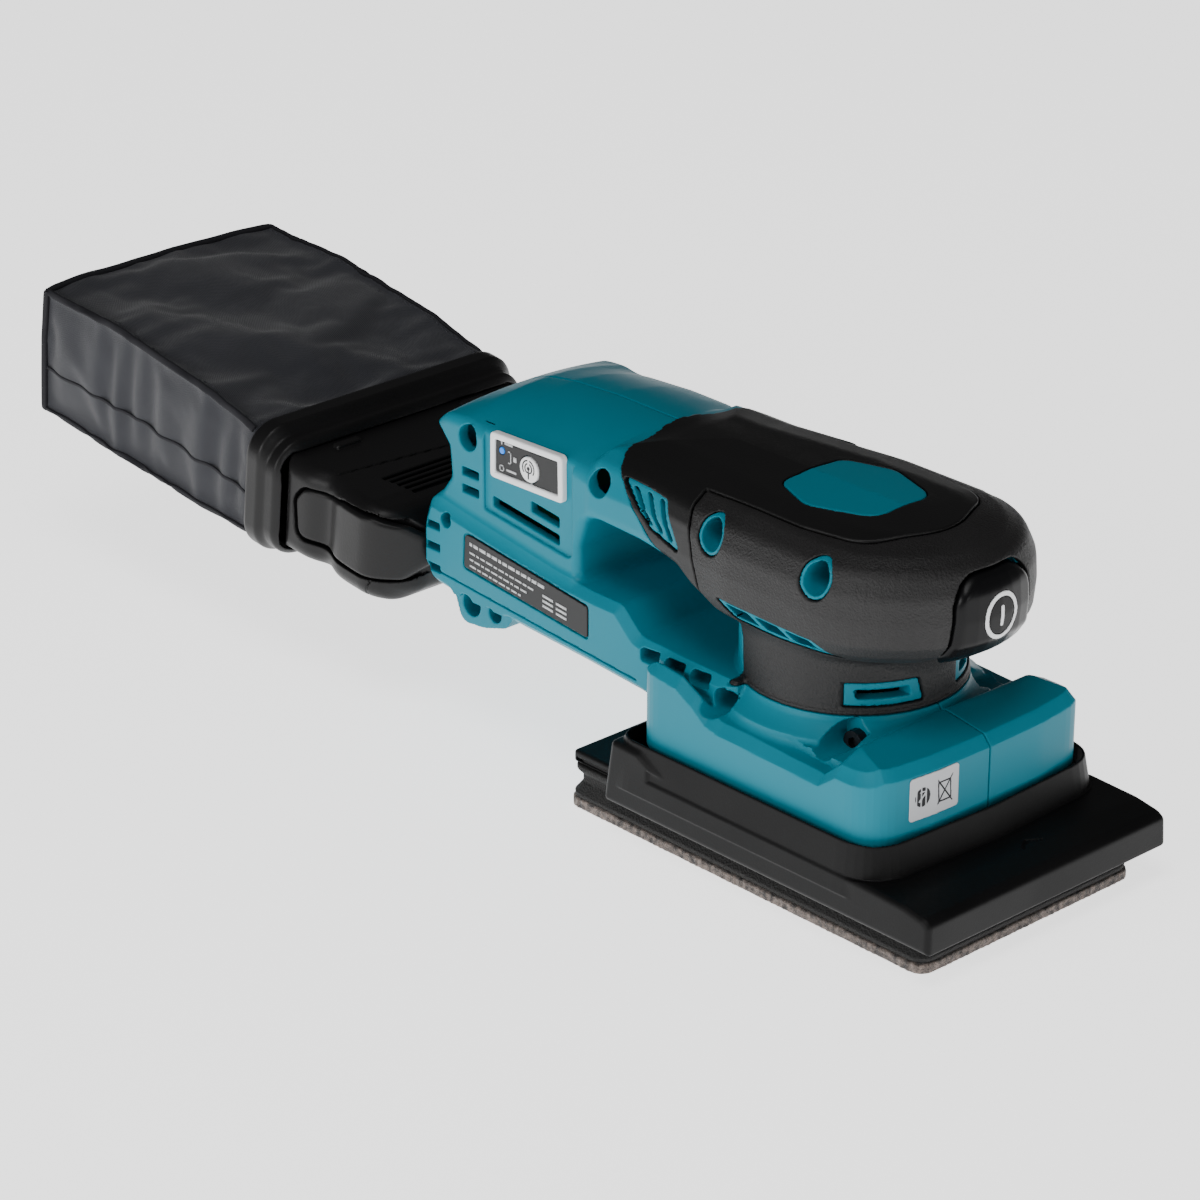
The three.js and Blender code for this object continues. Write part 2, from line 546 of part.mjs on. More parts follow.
function bag() {
  const stations = [[FRAME_END + GAP, 45.6, -19, 18], [85, 45.4, -19.4, 20.4], [130, 45, -20.4, 22.2],
    [BAG_START + BAG_LENGTH - 4, 45, -21, 20.6], [BAG_START + BAG_LENGTH, 43.2, -19.2, 18.8]];
  const outside = loft(stations.map(([y, w, low, high]) => boxSection(y, w, low, high, 7)));
  const inside = loft(stations.map(([y, w, low, high], i) => boxSection(
    i === 0 ? y - 2 : y - (i === stations.length - 1 ? BAG_WALL : 0), w - BAG_WALL, low + BAG_WALL, high - BAG_WALL, 7)));
  return outside.subtract(inside);
}

function bagWire() {
  const width = 39;
  const path = new THREE.CatmullRomCurve3([
    new THREE.Vector3(-width, FRAME_END + 2, 0), new THREE.Vector3(-width, 120, 0),
    new THREE.Vector3(-width, BAG_START + BAG_LENGTH - 12, 0), new THREE.Vector3(0, BAG_START + BAG_LENGTH - 6, 0),
    new THREE.Vector3(width, BAG_START + BAG_LENGTH - 12, 0), new THREE.Vector3(width, 120, 0),
    new THREE.Vector3(width, FRAME_END + 2, 0)], false, 'catmullrom', 0.2);
  const circle = new THREE.Shape();
  circle.absarc(0, 0, 1.1, 0, 2 * Math.PI);
  const geometry = new THREE.ExtrudeGeometry(circle, { steps: 16, curveSegments: 3, extrudePath: path, bevelEnabled: false });
  return solid(geometry);
}

function latch(side) {
  const low = side < 0 ? -LATCH_X - LATCH_THICK : LATCH_X;
  const plate = sideBody(LATCH_OUTLINE, low, low + LATCH_THICK, 1.2, 2);
  return plate.subtract(post(side * LATCH_PIN_X, LATCH_PIVOT, -30, 30, 1.35, 12));
}

function latchPin(side) {
  return post(side * LATCH_PIN_X, LATCH_PIVOT, -12, 10.2, 1.05, 12);
}

addPiece('box_head', boxHead(), BLACK, 0.45, 0, boxGroup);
addPiece('box_frame', boxFrame(), BLACK, 0.5, 0, boxGroup);
addPiece('dust_bag', bag(), 0x2a2b31, 0.9, 0, boxGroup);
addPiece('bag_wire', bagWire(), STEEL, 0.3, 1, boxGroup);
for (const [name, side] of [['left', -1], ['right', 1]]) {
  addPiece(`latch_${name}`, latch(side), BLACK, 0.4, 0, boxGroup);
  addPiece(`latch_pin_${name}`, latchPin(side), STEEL, 0.3, 1, boxGroup);
}

export default group;
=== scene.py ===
"""Orbital sander: smooth moulded shells, rubber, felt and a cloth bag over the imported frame."""
import functools
import math

import bpy
import numpy as np
from mathutils import Matrix, Vector


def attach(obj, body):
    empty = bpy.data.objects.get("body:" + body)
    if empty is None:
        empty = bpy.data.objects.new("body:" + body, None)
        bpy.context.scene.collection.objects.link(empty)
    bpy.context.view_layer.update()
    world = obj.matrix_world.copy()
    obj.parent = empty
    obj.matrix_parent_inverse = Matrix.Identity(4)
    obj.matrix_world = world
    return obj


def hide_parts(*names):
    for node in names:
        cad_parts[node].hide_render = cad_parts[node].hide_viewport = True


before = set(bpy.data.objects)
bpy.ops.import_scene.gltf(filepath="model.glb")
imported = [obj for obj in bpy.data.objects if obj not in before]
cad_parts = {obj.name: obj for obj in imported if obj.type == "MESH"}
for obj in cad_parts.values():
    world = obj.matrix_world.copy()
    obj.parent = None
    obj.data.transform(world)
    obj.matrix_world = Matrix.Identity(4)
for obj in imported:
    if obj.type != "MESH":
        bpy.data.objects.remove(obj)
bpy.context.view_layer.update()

MM = 0.001
CELL = 0.5
FINE_CELL = 0.32
BLOCK = 8

# The object's own dimensions, in millimetres
AXIS_Y = -1.5
SPLIT = 0.12
HANDLE_HALF = 31.0
BEAM_HALF = 33.8
NECK_RADIUS = 30.3
SKIN = 2.3
SKIN_GAP = 0.12
BOSS_FACE = 20.6
VENT_DEPTH = 26
BOX_PITCH = math.radians(6.5)
BOX_AT = np.array([0.0, 135.0, 50.0])
TILT = np.array([[1, 0, 0], [0, math.cos(BOX_PITCH), -math.sin(BOX_PITCH)],
                 [0, math.sin(BOX_PITCH), math.cos(BOX_PITCH)]])


# ---- Fields: negative inside, in millimetres ----

def length(*parts):
    return np.sqrt(sum(part * part for part in parts))


def both(*fields):
    """Where all the fields overlap."""
    return functools.reduce(np.maximum, fields)


def either(*fields):
    """Where any of the fields is."""
    return functools.reduce(np.minimum, fields)


def join(a, b, radius):
    """Union with a fillet."""
    if radius <= 0:
        return np.minimum(a, b)
    return np.maximum(radius, np.minimum(a, b)) - length(np.maximum(radius - a, 0), np.maximum(radius - b, 0))


def meet(a, b, radius):
    """Intersection with a rounded edge."""
    if radius <= 0:
        return np.maximum(a, b)
    return np.minimum(-radius, np.maximum(a, b)) + length(np.maximum(a + radius, 0),
        np.maximum(b + radius, 0))


def cut(a, b, radius=0.4):
    """a without b, with a rounded edge."""
    return meet(a, -b, radius)


def bevel(a, b, size):
    """Intersection with a flat chamfer."""
    return np.maximum(np.maximum(a, b), (a + b + size) * 0.7071)


def slab(value, low, high):
    return np.maximum(low - value, value - high)


def rounded_box(x, y, z, low, high, radius):
    dx = np.abs(x - (low[0] + high[0]) / 2) - (high[0] - low[0]) / 2 + radius
    dy = np.abs(y - (low[1] + high[1]) / 2) - (high[1] - low[1]) / 2 + radius
    dz = np.abs(z - (low[2] + high[2]) / 2) - (high[2] - low[2]) / 2 + radius
    outside = length(np.maximum(dx, 0), np.maximum(dy, 0), np.maximum(dz, 0))
    return outside + np.minimum(np.maximum(dx, np.maximum(dy, dz)), 0) - radius


def rounded_rect(u, v, low_u, high_u, low_v, high_v, radius):
    du = np.abs(u - (low_u + high_u) / 2) - (high_u - low_u) / 2 + radius
    dv = np.abs(v - (low_v + high_v) / 2) - (high_v - low_v) / 2 + radius
    return length(np.maximum(du, 0), np.maximum(dv, 0)) + np.minimum(np.maximum(du, dv), 0) - radius


def ease(value, low, high):
    t = np.clip((value - low) / (high - low), 0, 1)
    return t * t * (3 - 2 * t)


class Outline:
    """A closed outline with rounded corners, as a signed distance looked up from a grid."""

    STEP = 0.4
    MARGIN = 8.0

    def __init__(self, corners):
        self.points = self.round_corners(corners)
        low = self.points.min(0) - self.MARGIN
        high = self.points.max(0) + self.MARGIN
        counts = np.ceil((high - low) / self.STEP).astype(int) + 1
        self.low = low
        self.counts = counts
        u = low[0] + np.arange(counts[0]) * self.STEP
        v = low[1] + np.arange(counts[1]) * self.STEP
        self.grid = self.distance(*np.meshgrid(u, v, indexing="ij")).astype(np.float32)

    @staticmethod
    def round_corners(corners):
        points = []
        count = len(corners)
        for i, corner in enumerate(corners):
            here = np.array(corner[:2], float)
            radius = corner[2] if len(corner) > 2 else 0.0
            before = np.array(corners[i - 1][:2], float) - here
            after = np.array(corners[(i + 1) % count][:2], float) - here
            reach = 0.48 * min(np.linalg.norm(before), np.linalg.norm(after))
            before /= np.linalg.norm(before)
            after /= np.linalg.norm(after)
            half = math.acos(np.clip(before @ after, -1, 1)) / 2
            tangent = radius / math.tan(half) if half > 0.01 else 0.0
            if radius <= 0 or tangent < 1e-3:
                points.append(here)
                continue
            trim = min(tangent, reach)
            for t in np.linspace(0, 1, 9):
                start = here + before * trim
                end = here + after * trim
                points.append((1 - t) ** 2 * start + 2 * t * (1 - t) * here + t * t * end)
        return np.array(points)

    def distance(self, u, v):
        best = np.full(u.shape, 1e9)
        inside = np.zeros(u.shape, bool)
        for i in range(len(self.points)):
            a = self.points[i - 1]
            b = self.points[i]
            edge = b - a
            size = edge @ edge
            if size < 1e-12:
                continue
            pu = u - a[0]
            pv = v - a[1]
            t = np.clip((pu * edge[0] + pv * edge[1]) / size, 0, 1)
            best = np.minimum(best, (pu - t * edge[0]) ** 2 + (pv - t * edge[1]) ** 2)
            crosses = (a[1] > v) != (b[1] > v)
            if edge[1] != 0:
                inside ^= crosses & (pu < edge[0] * (v - a[1]) / edge[1])
        return np.where(inside, -1, 1) * np.sqrt(best)

    def __call__(self, u, v):
        fu = (u - self.low[0]) / self.STEP
        fv = (v - self.low[1]) / self.STEP
        cu = np.clip(fu, 0, self.counts[0] - 1.001)
        cv = np.clip(fv, 0, self.counts[1] - 1.001)
        beyond = length(fu - cu, fv - cv) * self.STEP
        iu = cu.astype(np.int32)
        iv = cv.astype(np.int32)
        tu = cu - iu
        tv = cv - iv
        g = self.grid
        value = (g[iu, iv] * (1 - tu) * (1 - tv) + g[iu + 1, iv] * tu * (1 - tv)
                 + g[iu, iv + 1] * (1 - tu) * tv + g[iu + 1, iv + 1] * tu * tv)
        return value + beyond


# ---- Turning a field into a mesh ----

CORNERS = np.array([(i, j, k) for i in (0, 1) for j in (0, 1) for k in (0, 1)])
EDGES = [(a, b) for a in range(8) for b in range(a + 1, 8) if np.abs(CORNERS[a] - CORNERS[b]).sum() == 1]


def near_blocks(field, low, size, counts):
    """The blocks of cells that the surface may pass through."""
    index = np.stack(np.meshgrid(*[np.arange(c) for c in counts], indexing="ij"), -1).reshape(-1, 3)
    centre = (low + (index + 0.5) * size).astype(np.float32)
    value = field(centre[:, 0], centre[:, 1], centre[:, 2])
    return index[np.abs(value) < size * 2.3 + 1.2]


def sample_blocks(field, low, cell, blocks):
    """Field values at the corners of every cell in each block."""
    steps = np.arange(BLOCK + 1)
    offset = np.stack(np.meshgrid(steps, steps, steps, indexing="ij"), -1).reshape(-1, 3)
    parts = []
    for start in range(0, len(blocks), 1500):
        corner = blocks[start:start + 1500, None, :] * BLOCK + offset[None]
        point = (low + corner * cell).astype(np.float32).reshape(-1, 3)
        parts.append(field(point[:, 0], point[:, 1], point[:, 2]).astype(np.float32).reshape(-1,
            offset.shape[0]))
    side = BLOCK + 1
    return np.concatenate(parts).reshape(-1, side, side, side)


def surface_net(field, low, high, cell):
    """Vertices and quads of the field's zero surface."""
    low = np.array(low, float) - 1.5 * cell
    size = cell * BLOCK
    counts = np.ceil((np.array(high, float) + 1.5 * cell - low) / size).astype(int)
    blocks = near_blocks(field, low, size, counts)
    values = sample_blocks(field, low, cell, blocks)
    corner_values = np.stack([values[:, i:i + BLOCK, j:j + BLOCK, k:k + BLOCK] for i, j, k in CORNERS], -1)
    signs = corner_values < 0
    total = signs.sum(-1)
    active = np.nonzero((total > 0) & (total < 8))
    cells = blocks[active[0]] * BLOCK + np.stack(active[1:], -1)
    corner_values = corner_values[active]
    place = np.zeros((len(cells), 3))
    hits = np.zeros(len(cells))
    for a, b in EDGES:
        fa = corner_values[:, a]
        fb = corner_values[:, b]
        crossing = (fa < 0) != (fb < 0)
        t = np.where(crossing, fa / np.where(crossing, fa - fb, 1), 0)[:, None]
        place += np.where(crossing[:, None], CORNERS[a] + t * (CORNERS[b] - CORNERS[a]), 0)
        hits += crossing
    vertices = low + (cells + place / hits[:, None]) * cell
    span = counts * BLOCK + 2
    key = (cells[:, 0] * span[1] + cells[:, 1]) * span[2] + cells[:, 2]
    order = np.argsort(key)
    sorted_key = key[order]
    strides = np.array([span[1] * span[2], span[2], 1])
    quads = []
    for axis in range(3):
        first = corner_values[:, 0] < 0
        second = corner_values[:, (4, 2, 1)[axis]] < 0
        u, v = [(1, 2), (2, 0), (0, 1)][axis]
        for start_inside in (True, False):
            pick = np.nonzero((first != second) & (first == start_inside))[0]
            around = [0, -strides[u], -strides[u] - strides[v], -strides[v]]
            if not start_inside:
                around = around[::-1]
            ring = np.stack([key[pick] + step for step in around], -1)
            slot = np.clip(np.searchsorted(sorted_key, ring), 0, len(sorted_key) - 1)
            found = (sorted_key[slot] == ring).all(-1)
            quads.append(order[slot[found]])
    return vertices, np.concatenate(quads)


def gradient(field, points, step):
    parts = []
    for axis in range(3):
        ahead = points.copy()
        ahead[:, axis] += step
        behind = points.copy()
        behind[:, axis] -= step
        parts.append((field(*ahead.T) - field(*behind.T)) / (2 * step))
    return np.stack(parts, -1)


def settle(field, vertices, cell):
    """Moves the vertices onto the surface and returns its normals there."""
    for _ in range(2):
        slope = gradient(field, vertices, 0.12)
        value = field(*vertices.T)
        step = value[:, None] * slope / np.maximum((slope ** 2).sum(-1, keepdims=True), 0.2)
        size = np.linalg.norm(step, axis=1, keepdims=True)
        vertices = vertices - step * np.minimum(1, 0.6 * cell / np.maximum(size, 1e-9))
    slope = gradient(field, vertices, 0.2)
    return vertices, slope / np.maximum(np.linalg.norm(slope, axis=1, keepdims=True), 1e-6)


def mesh_object(name, vertices, faces, normals=None):
    """A smooth-shaded object from arrays in millimetres."""
    mesh = bpy.data.meshes.new(name)
    sides = faces.shape[1]
    mesh.vertices.add(len(vertices))
    mesh.vertices.foreach_set("co", (np.asarray(vertices) * MM).astype(np.float32).ravel())
    mesh.loops.add(faces.size)
    mesh.loops.foreach_set("vertex_index", faces.astype(np.int32).ravel())
    mesh.polygons.add(len(faces))
    mesh.polygons.foreach_set("loop_start", np.arange(0, faces.size, sides, dtype=np.int32))
    mesh.update(calc_edges=True)
    mesh.validate()
    mesh.shade_smooth()
    if normals is not None and len(mesh.vertices) == len(normals):
        mesh.normals_split_custom_set_from_vertices(normals.tolist())
    piece = bpy.data.objects.new(name, mesh)
    bpy.context.scene.collection.objects.link(piece)
    return piece


def moulded(name, field, low, high, cell=None, pitched=False):
    """A smooth solid from a field in the box from low to high; a pitched one is in the dust box's frame."""
    cell = cell or CELL
    vertices, faces = surface_net(field, low, high, cell)
    vertices, normals = settle(field, vertices, cell)
    if pitched:
        vertices = vertices @ TILT.T + BOX_AT
        normals = normals @ TILT.T
    return mesh_object(name, vertices, faces, normals)


# ---- Housing forms ----

HANDLE_SIDE = Outline([
    (5, 101.8), (5, 84), (38, 80.2, 5), (51, 81, 15), (64, 82, 6), (69.5, 80, 4), (72.5, 71, 5), (72, 60),
    (72, 50),
    (131, 50), (133.5, 60, 4), (130.3, 68.5, 3), (124.8, 76, 3), (125.6, 86, 3), (130.6, 92.4, 1.2),
    (127, 95.8, 8),
    (118, 99.3, 12), (107, 101, 20), (90, 102, 40), (60, 101.8, 30)])
BEAM_SIDE = Outline([
    (10, 30), (32, 31), (37.5, 37, 3), (46, 38.3, 8), (68, 39.8, 20), (98.5, 41.4, 2), (101, 37.6, 3),
    (110, 34.8, 4),
    (119.5, 33.8, 4), (122.5, 42, 2), (130, 43, 4), (134.2, 48, 4), (134, 60, 6), (131, 69, 4), (119, 67, 6),
    (80, 61.5, 10), (63, 60.7, 3), (54, 60.7, 4), (46.5, 54, 4), (32, 53.4), (10, 53)])
NOSE = [(36 * math.cos(a), -16 + 36 * math.sin(a)) for a in np.radians(np.arange(180, 361, 6))]
HEAD_PLAN = Outline([(-31, 75), (-31, 48, 20), (-36, 12, 40)] + NOSE + [(36, 12, 40), (31, 48, 20), (31, 75)])
HEAD_WALL = Outline([
    (-60, 58), (-24, 58), (-17, 65.6, 3), (-8, 68.2, 8), (-3, 71.8, 5), (-0.6, 76.5, 6), (0, 84, 8),
    (-0.4, 91, 8),
    (-3, 96.8, 5), (-8.5, 99.6, 8), (-18, 101.6, 20), (-36, 102.6, 20), (-60, 102.6)])
HEAD_SIDE = Outline([
    (-70, 50), (11, 50), (12.5, 64, 3), (23, 72.5, 4), (33, 78.5, 6), (51, 81, 10), (70, 81.3), (70, 115),
    (-70, 115)])
GRIP_SIDE = Outline([
    (-90, 51.9), (12.6, 51.9), (13.4, 64, 3), (24, 72, 4), (33, 77.5, 4), (39, 80, 3), (44.5, 84, 4),
    (60, 98, 6),
    (67, 103), (67, 120), (-90, 120)])
BASE_PLAN = Outline([
    (-40.5, 39.4, 9), (-40.5, -48.2, 12), (-20, -50.3, 40), (0, -50.7, 40), (20, -50.3, 40),
    (40.5, -48.2, 12),
    (40.5, 39.4, 9)])
TOP_PLAN = Outline([
    (-21, 33.5, 1), (-24.6, 29.5, 1.5), (-25, -6, 25), (-22.5, -25, 12), (0, -36, 20), (22.5, -25, 12),
    (25, -6, 25),
    (24.6, 29.5, 1.5), (21, 33.5, 1)])
HEAD_HOLES = [(18.4, 92.6), (-19.7, 92.8)]
HANDLE_HOLES = [(116.8, 89.6), (64.4, 92)]
BADGE = Outline([(11.5, 15.5, 5), (-11.5, 15.5, 5), (-17, 1, 9), (-10.5, -17.8, 7), (10.5, -17.8, 7),
    (17, 1, 9)])


def crown(x, y):
    """How far the handle's top falls away from its ridge."""
    depth = 5.4 + 2.4 * ease(-y, -78, -58)
    return depth * (1 - 0.75 * ease(y, 108, 130)) * np.minimum((x / 26) ** 2, 2.2)


def handle_form(x, y, z):
    raised = z + crown(x, y) * ease(z, 80, 92)
    return meet(HANDLE_SIDE(y, raised), np.abs(x) - HANDLE_HALF, 2.6)


def beam_form(x, y, z):
    beam = bevel(BEAM_SIDE(y, z), np.abs(x) - BEAM_HALF, 2.4)
    lug = slab(np.abs(x), 0, 31.5)
    return np.where(z < 42.5, both(beam, np.where(y > 98, lug, -99)), beam)


def head_form(x, y, z, grow=0.0):
    chin = 2.4 * ease(-y, 4, 38) * ease(-z, -84, -70)
    wall = HEAD_WALL(HEAD_PLAN(x, y), z - chin) - grow
    return meet(wall, HEAD_SIDE(y, z) - grow, 3.5)


def neck_form(x, y, z, grow=0.0):
    around = length(x, y - AXIS_Y) - NECK_RADIUS - grow
    return both(around, slab(z, 40, 74))


def rim_height(y):
    """The top edge along the base's sides."""
    stations = [-60, -36.5, -34.5, -28.5, -26, -8, 8, 13, 18, 24, 31, 60]
    heights = [47.6, 47.2, 47.2, 42.4, 42.6, 43.0, 43.4, 44.6, 48.6, 51.8, 52.6, 52.8]
    return np.interp(y, stations, heights)


def base_form(x, y, z):
    plan = BASE_PLAN(x, y)
    side = np.abs(x)
    front_block = ease(-y, 27, 36)
    shoulder = ease(y, 9, 22)
    rim = rim_height(y)
    middle = 51.4 - 0.15 * np.maximum(-31.0 - y, 0)
    reach = np.maximum(length(x, y - AXIS_Y) - NECK_RADIUS, 0)
    deck = rim + 0.4 + 8.0 * np.exp(-reach / 2.6)
    flat = either(middle, rim + 3.8 * (1 - ease(side, 30, 40.5)))
    shelf = rim - 7.5 * (1 - ease(side, 34.2, 37.4)) * shoulder
    top = deck * (1 - front_block) + flat * front_block
    top = top * (1 - shoulder) + shelf * shoulder
    top = np.where(side < 34, both(top, np.minimum(middle, 45.5)), top)
    body = bevel(plan, z - top, 2.6)
    return meet(body, 27.4 - z, 1.2)


def body_form(x, y, z):
    """The whole outside of the clamshells and their grips."""
    upper = join(head_form(x, y, z), handle_form(x, y, z), 1.5)
    low = join(base_form(x, y, z), beam_form(x, y, z), 1.0)
    collar = length(x, y - AXIS_Y) - NECK_RADIUS - 3.2 * np.clip((53.2 - z) / 5, 0, 1.3) ** 2
    low = join(low, both(collar, slab(z, 40, 52.6)), 1.5)
    low = join(low, neck_form(x, y, z), 1.2)
    return join(low, upper, 2.5)


def soft_side(x, y, z):
    """Negative in the grained soft grip, positive in the smooth top panel and handle cover."""
    front = y - (22.6 + (z - 76) * 0.27)
    return both(-np.where(z > 90, TOP_PLAN(x, y), 99), front)


def hole(y, z, at, radius):
    return length(y - at[0], z - at[1]) - radius


def vent_cuts(x, y, z):
    """Slots through the clamshell walls, the same on both sides."""
    side = np.abs(x)
    cuts = np.full(x.shape, 99.0, np.float32)
    for at in (41.0, 31.5, 22.0):
        tilt = z - 50.2 + (y - at) * 0.02
        slot = rounded_rect(y, tilt, at - 3.6, at + 3.6, -1.9, 1.9, 1.0)
        cuts = either(cuts, both(slot, slab(side, VENT_DEPTH, 34.6)))
    lean = z - (y - 94) * 0.12
    for rear_end, height in ((107.6, 70.4), (92.0, 75.6)):
        slot = rounded_rect(y, lean, 80.6, rear_end, height, height + 3.0, 0.5)
        cuts = either(cuts, both(slot, VENT_DEPTH - side))
    for height in (79.4, 74.2):
        cuts = either(cuts, both(rounded_rect(y, z, 112.4, 119.4, height - 1.2, height + 1.2, 0.4),
            VENT_DEPTH - side))
    for height in (48.0, 54.4, 60.8):
        wrap = both(slab(z, height - 1.1, height + 1.1), slab(y, 126, 132), 22 - side)
        cuts = either(cuts, wrap)
    cuts = either(cuts, hole(y, z, (123.4, 63.8), 2.1))
    return cuts


def screw_cuts(x, y, z):
    side = np.abs(x)
    cuts = np.full(x.shape, 99.0, np.float32)
    for at, radius in [(HANDLE_HOLES[0], 3.7), (HANDLE_HOLES[1], 3.7), ((115.4, 40.4), 3.6),
        ((105.6, 40.6), 2.6),
                       ((13.0, 47.4), 3.4), ((-23.4, 47.4), 4.0)]:
        cuts = either(cuts, both(hole(y, z, at, radius), BOSS_FACE - side))
    for at in HEAD_HOLES:
        cuts = either(cuts, both(length((y - at[0]) / 0.94, z - at[1]) - 4.1, BOSS_FACE - side))
    return cuts


def inner_room(x, y, z):
    """The hollow inside the clamshells."""
    around = length(x, y - AXIS_Y)
    chamber = both(BASE_PLAN(x, y) + 2.6, slab(z, 10, 42), base_form(x, y, z) + 2.2)
    motor = both(around - 25.6, slab(z, 46.6, 86.4))
    seats = both(around - 9.4, slab(z, 44, 93.6))
    shaft = both(around - 5, slab(z, 40, 97))
    handle = rounded_box(x, y, z, (-27.4, 44, 84.6), (27.4, 122, 94.5), 1)
    rear = rounded_box(x, y, z, (-27.4, 76, 62), (27.4, 121.5, 92), 1)
    duct = rounded_box(x, y, z, (-19, 20, 44.5), (19, 145, 51.5), 0.5)
    tail = rounded_box(x, y, z, (-29.5, 76, 45.5), (29.5, 128, 62.6), 1)
    switch = rounded_box(x, y, z, (-15, -60, 74.5), (15, -26, 92), 1)
    return either(chamber, motor, seats, shaft, handle, rear, duct, tail, switch)


SLANT_FRAME = Outline([(57.4, 96.2, 1), (38.4, 95.4, 1), (30.4, 83.4, 1), (43.4, 86.2, 1)])
LOWER_FRAME = Outline([(15.5, 76.8, 0.6), (-19.0, 75.8, 0.6), (-25.5, 70.6, 0.3), (8.5, 71.2, 0.6)])
SLANT_SLOTS = [Outline([(53.4 - 5.6 * i, 94.6, 0.8), (51.2 - 5.6 * i, 94.4, 0.8),
    (42.0 - 4.2 * i, 87.0 - 0.9 * i, 0.8),
                        (44.2 - 4.2 * i, 87.3 - 0.9 * i, 0.8)]) for i in range(3)]
LOWER_SLOTS = [Outline([(12.4 - 10.6 * i, 75.8 - 0.3 * i, 0.3), (4.0 - 10.6 * i, 75.6 - 0.3 * i, 0.3),
                        (0.8 - 10.6 * i, 72.4 - 0.15 * i, 0.3), (9.2 - 10.6 * i, 72.6 - 0.15 * i, 0.3)])
               for i in range(3)]
PANEL = Outline([(77.4, 82.4, 1.6), (106.8, 81.6, 1.6), (106.6, 95.0, 1.6), (77.6, 96.0, 1.6)])
PANEL_POCKET = Outline([(74.6, 66.6, 2.5), (74.6, 97.2, 2), (110.4, 95.6, 1), (110.4, 70.6, 1)])
LABEL = Outline([(65.2, 47.4, 1.2), (116.0, 52.2, 1.2), (115.4, 62.4, 1.6), (112.6, 62.6, 1.0),
    (65.2, 57.0, 1.2)])


def neck_window(x, y, z, grow=0.0):
    """Two framed windows low on the neck's front."""
    near = rounded_rect(x + (z - 57.5) * 0.28, z, -24.5 - grow, -5.5 + grow, 54.2 - grow, 60.8 + grow, 0.8)
    far = rounded_rect(x, z, 8 - grow, 18.5 + grow, 54.6 - grow, 61.4 + grow, 0.8)
    return both(either(near, far), y + 20)


def windows(x, y, z, grow=0.0):
    """Every framed opening in the soft grip."""
    side = 20 - np.abs(x)
    slant = both(SLANT_FRAME(y, z) - grow, side)
    lower = both(LOWER_FRAME(y, z) - grow, side)
    rims = np.full(x.shape, 99.0, np.float32)
    for at in HEAD_HOLES:
        rims = either(rims, both(length((y - at[0]) / 0.94, z - at[1]) - 5.2 - grow, side))
    return either(slant, lower, rims, neck_window(x, y, z, grow))


def window_slots(x, y, z):
    side = 18 - np.abs(x)
    cuts = np.full(x.shape, 99.0, np.float32)
    for slot in SLANT_SLOTS + LOWER_SLOTS:
        cuts = either(cuts, both(slot(y, z), side))
    near = rounded_rect(x + (z - 57.5) * 0.28, z, -21, -8.5, 56.2, 58.8, 0.5)
    far = rounded_rect(x, z, 10.5, 16.5, 56.4, 59.2, 0.5)
    return either(cuts, both(either(near, far), y + 20))


def button_room(x, z, grow=0.0):
    """The tongue-shaped opening of the power button, seen from the front."""
    lean = x * (1 + 0.004 * (z - 84))
    return rounded_rect(lean, z, -13.6 - grow, 13.6 + grow, 62 - grow, 95.5 + grow, 8.5)


def teal_field(side):
    """One clamshell: side is -1 for the left and 1 for the right."""
    def field(x, y, z):
        outside = body_form(x, y, z)
        bare = both(outside, -GRIP_SIDE(y, z) + SKIN_GAP)
        rims = both(outside + 0.55, windows(x, y, z, -0.1))
        shape = either(bare, outside + SKIN, rims)
        flat = side * x
        pocket = both(PANEL_POCKET(y, z), 30.0 - flat)
        shape = cut(shape, pocket, 0.5)
        if side < 0:
            shape = cut(shape, both(LABEL(y, z) - 0.3, BEAM_HALF - 0.7 - flat), 0.25)
        else:
            shape = cut(shape, both(PANEL(y, z) - 0.3, 28.6 - flat), 0.25)
        ridge = both(slab(z - (y - 94) * 0.07, 45.0, 45.5), 33.2 - flat, 46 - y)
        shape = cut(shape, ridge, 0.2)
        shape = cut(shape, vent_cuts(x, y, z), 0.35)
        shape = cut(shape, window_slots(x, y, z), 0.25)
        shape = cut(shape, screw_cuts(x, y, z), 0.35)
        shape = cut(shape, both(button_room(x, z, 0.6), y + 33, 69.4 - z), 0.3)
        shape = both(shape, -inner_room(x, y, z))
        shape = cut(shape, both(rounded_rect(x, z, -10.6, 10.6, 69.4, 86.6, 1), 124 - y), 0.3)
        shape = cut(shape, both(rounded_rect(x, z, -23.3, 23.3, 40.7, 55.3, 2), 127 - y), 0.3)
        return meet(shape, SPLIT - flat, 0.35)
    return field


def build_clamshells():
    left = moulded("clamshell_left", teal_field(-1), (-42, -58, 26), (0.5, 136, 104))
    right = moulded("clamshell_right", teal_field(1), (-0.5, -58, 26), (42, 136, 104))
    return left, right


def black_field(smooth_part):
    """The soft grip over the head and neck, or the smooth cover on its top."""
    def field(x, y, z):
        outer = body_form(x, y, z)
        edge = soft_side(x, y, z)
        lip = 0.45 * ease(z, 90, 93) * np.where(edge > 0, 1, 0)
        shape = both(outer - lip, -(outer + SKIN - SKIN_GAP))
        shape = meet(shape, GRIP_SIDE(y, z) + SKIN_GAP, 0.3)
        shape = cut(shape, windows(x, y, z, 0.15), 0.35)
        shape = cut(shape, both(button_room(x, z, 0.6), y + 33), 0.5)
        if smooth_part:
            shape = cut(shape, both(BADGE(x, y) - 0.25, 98 - z), 0.25)
            return meet(shape, 0.22 - edge, 0.35)
        return meet(shape, edge + 0.22, 0.35)
    return field


def build_grips():
    soft = moulded("soft_grip", black_field(False), (-38, -60, 51), (38, 70, 104))
    smooth = moulded("grip_cover", black_field(True), (-38, -60, 60), (38, 70, 104.5))
    return soft, smooth


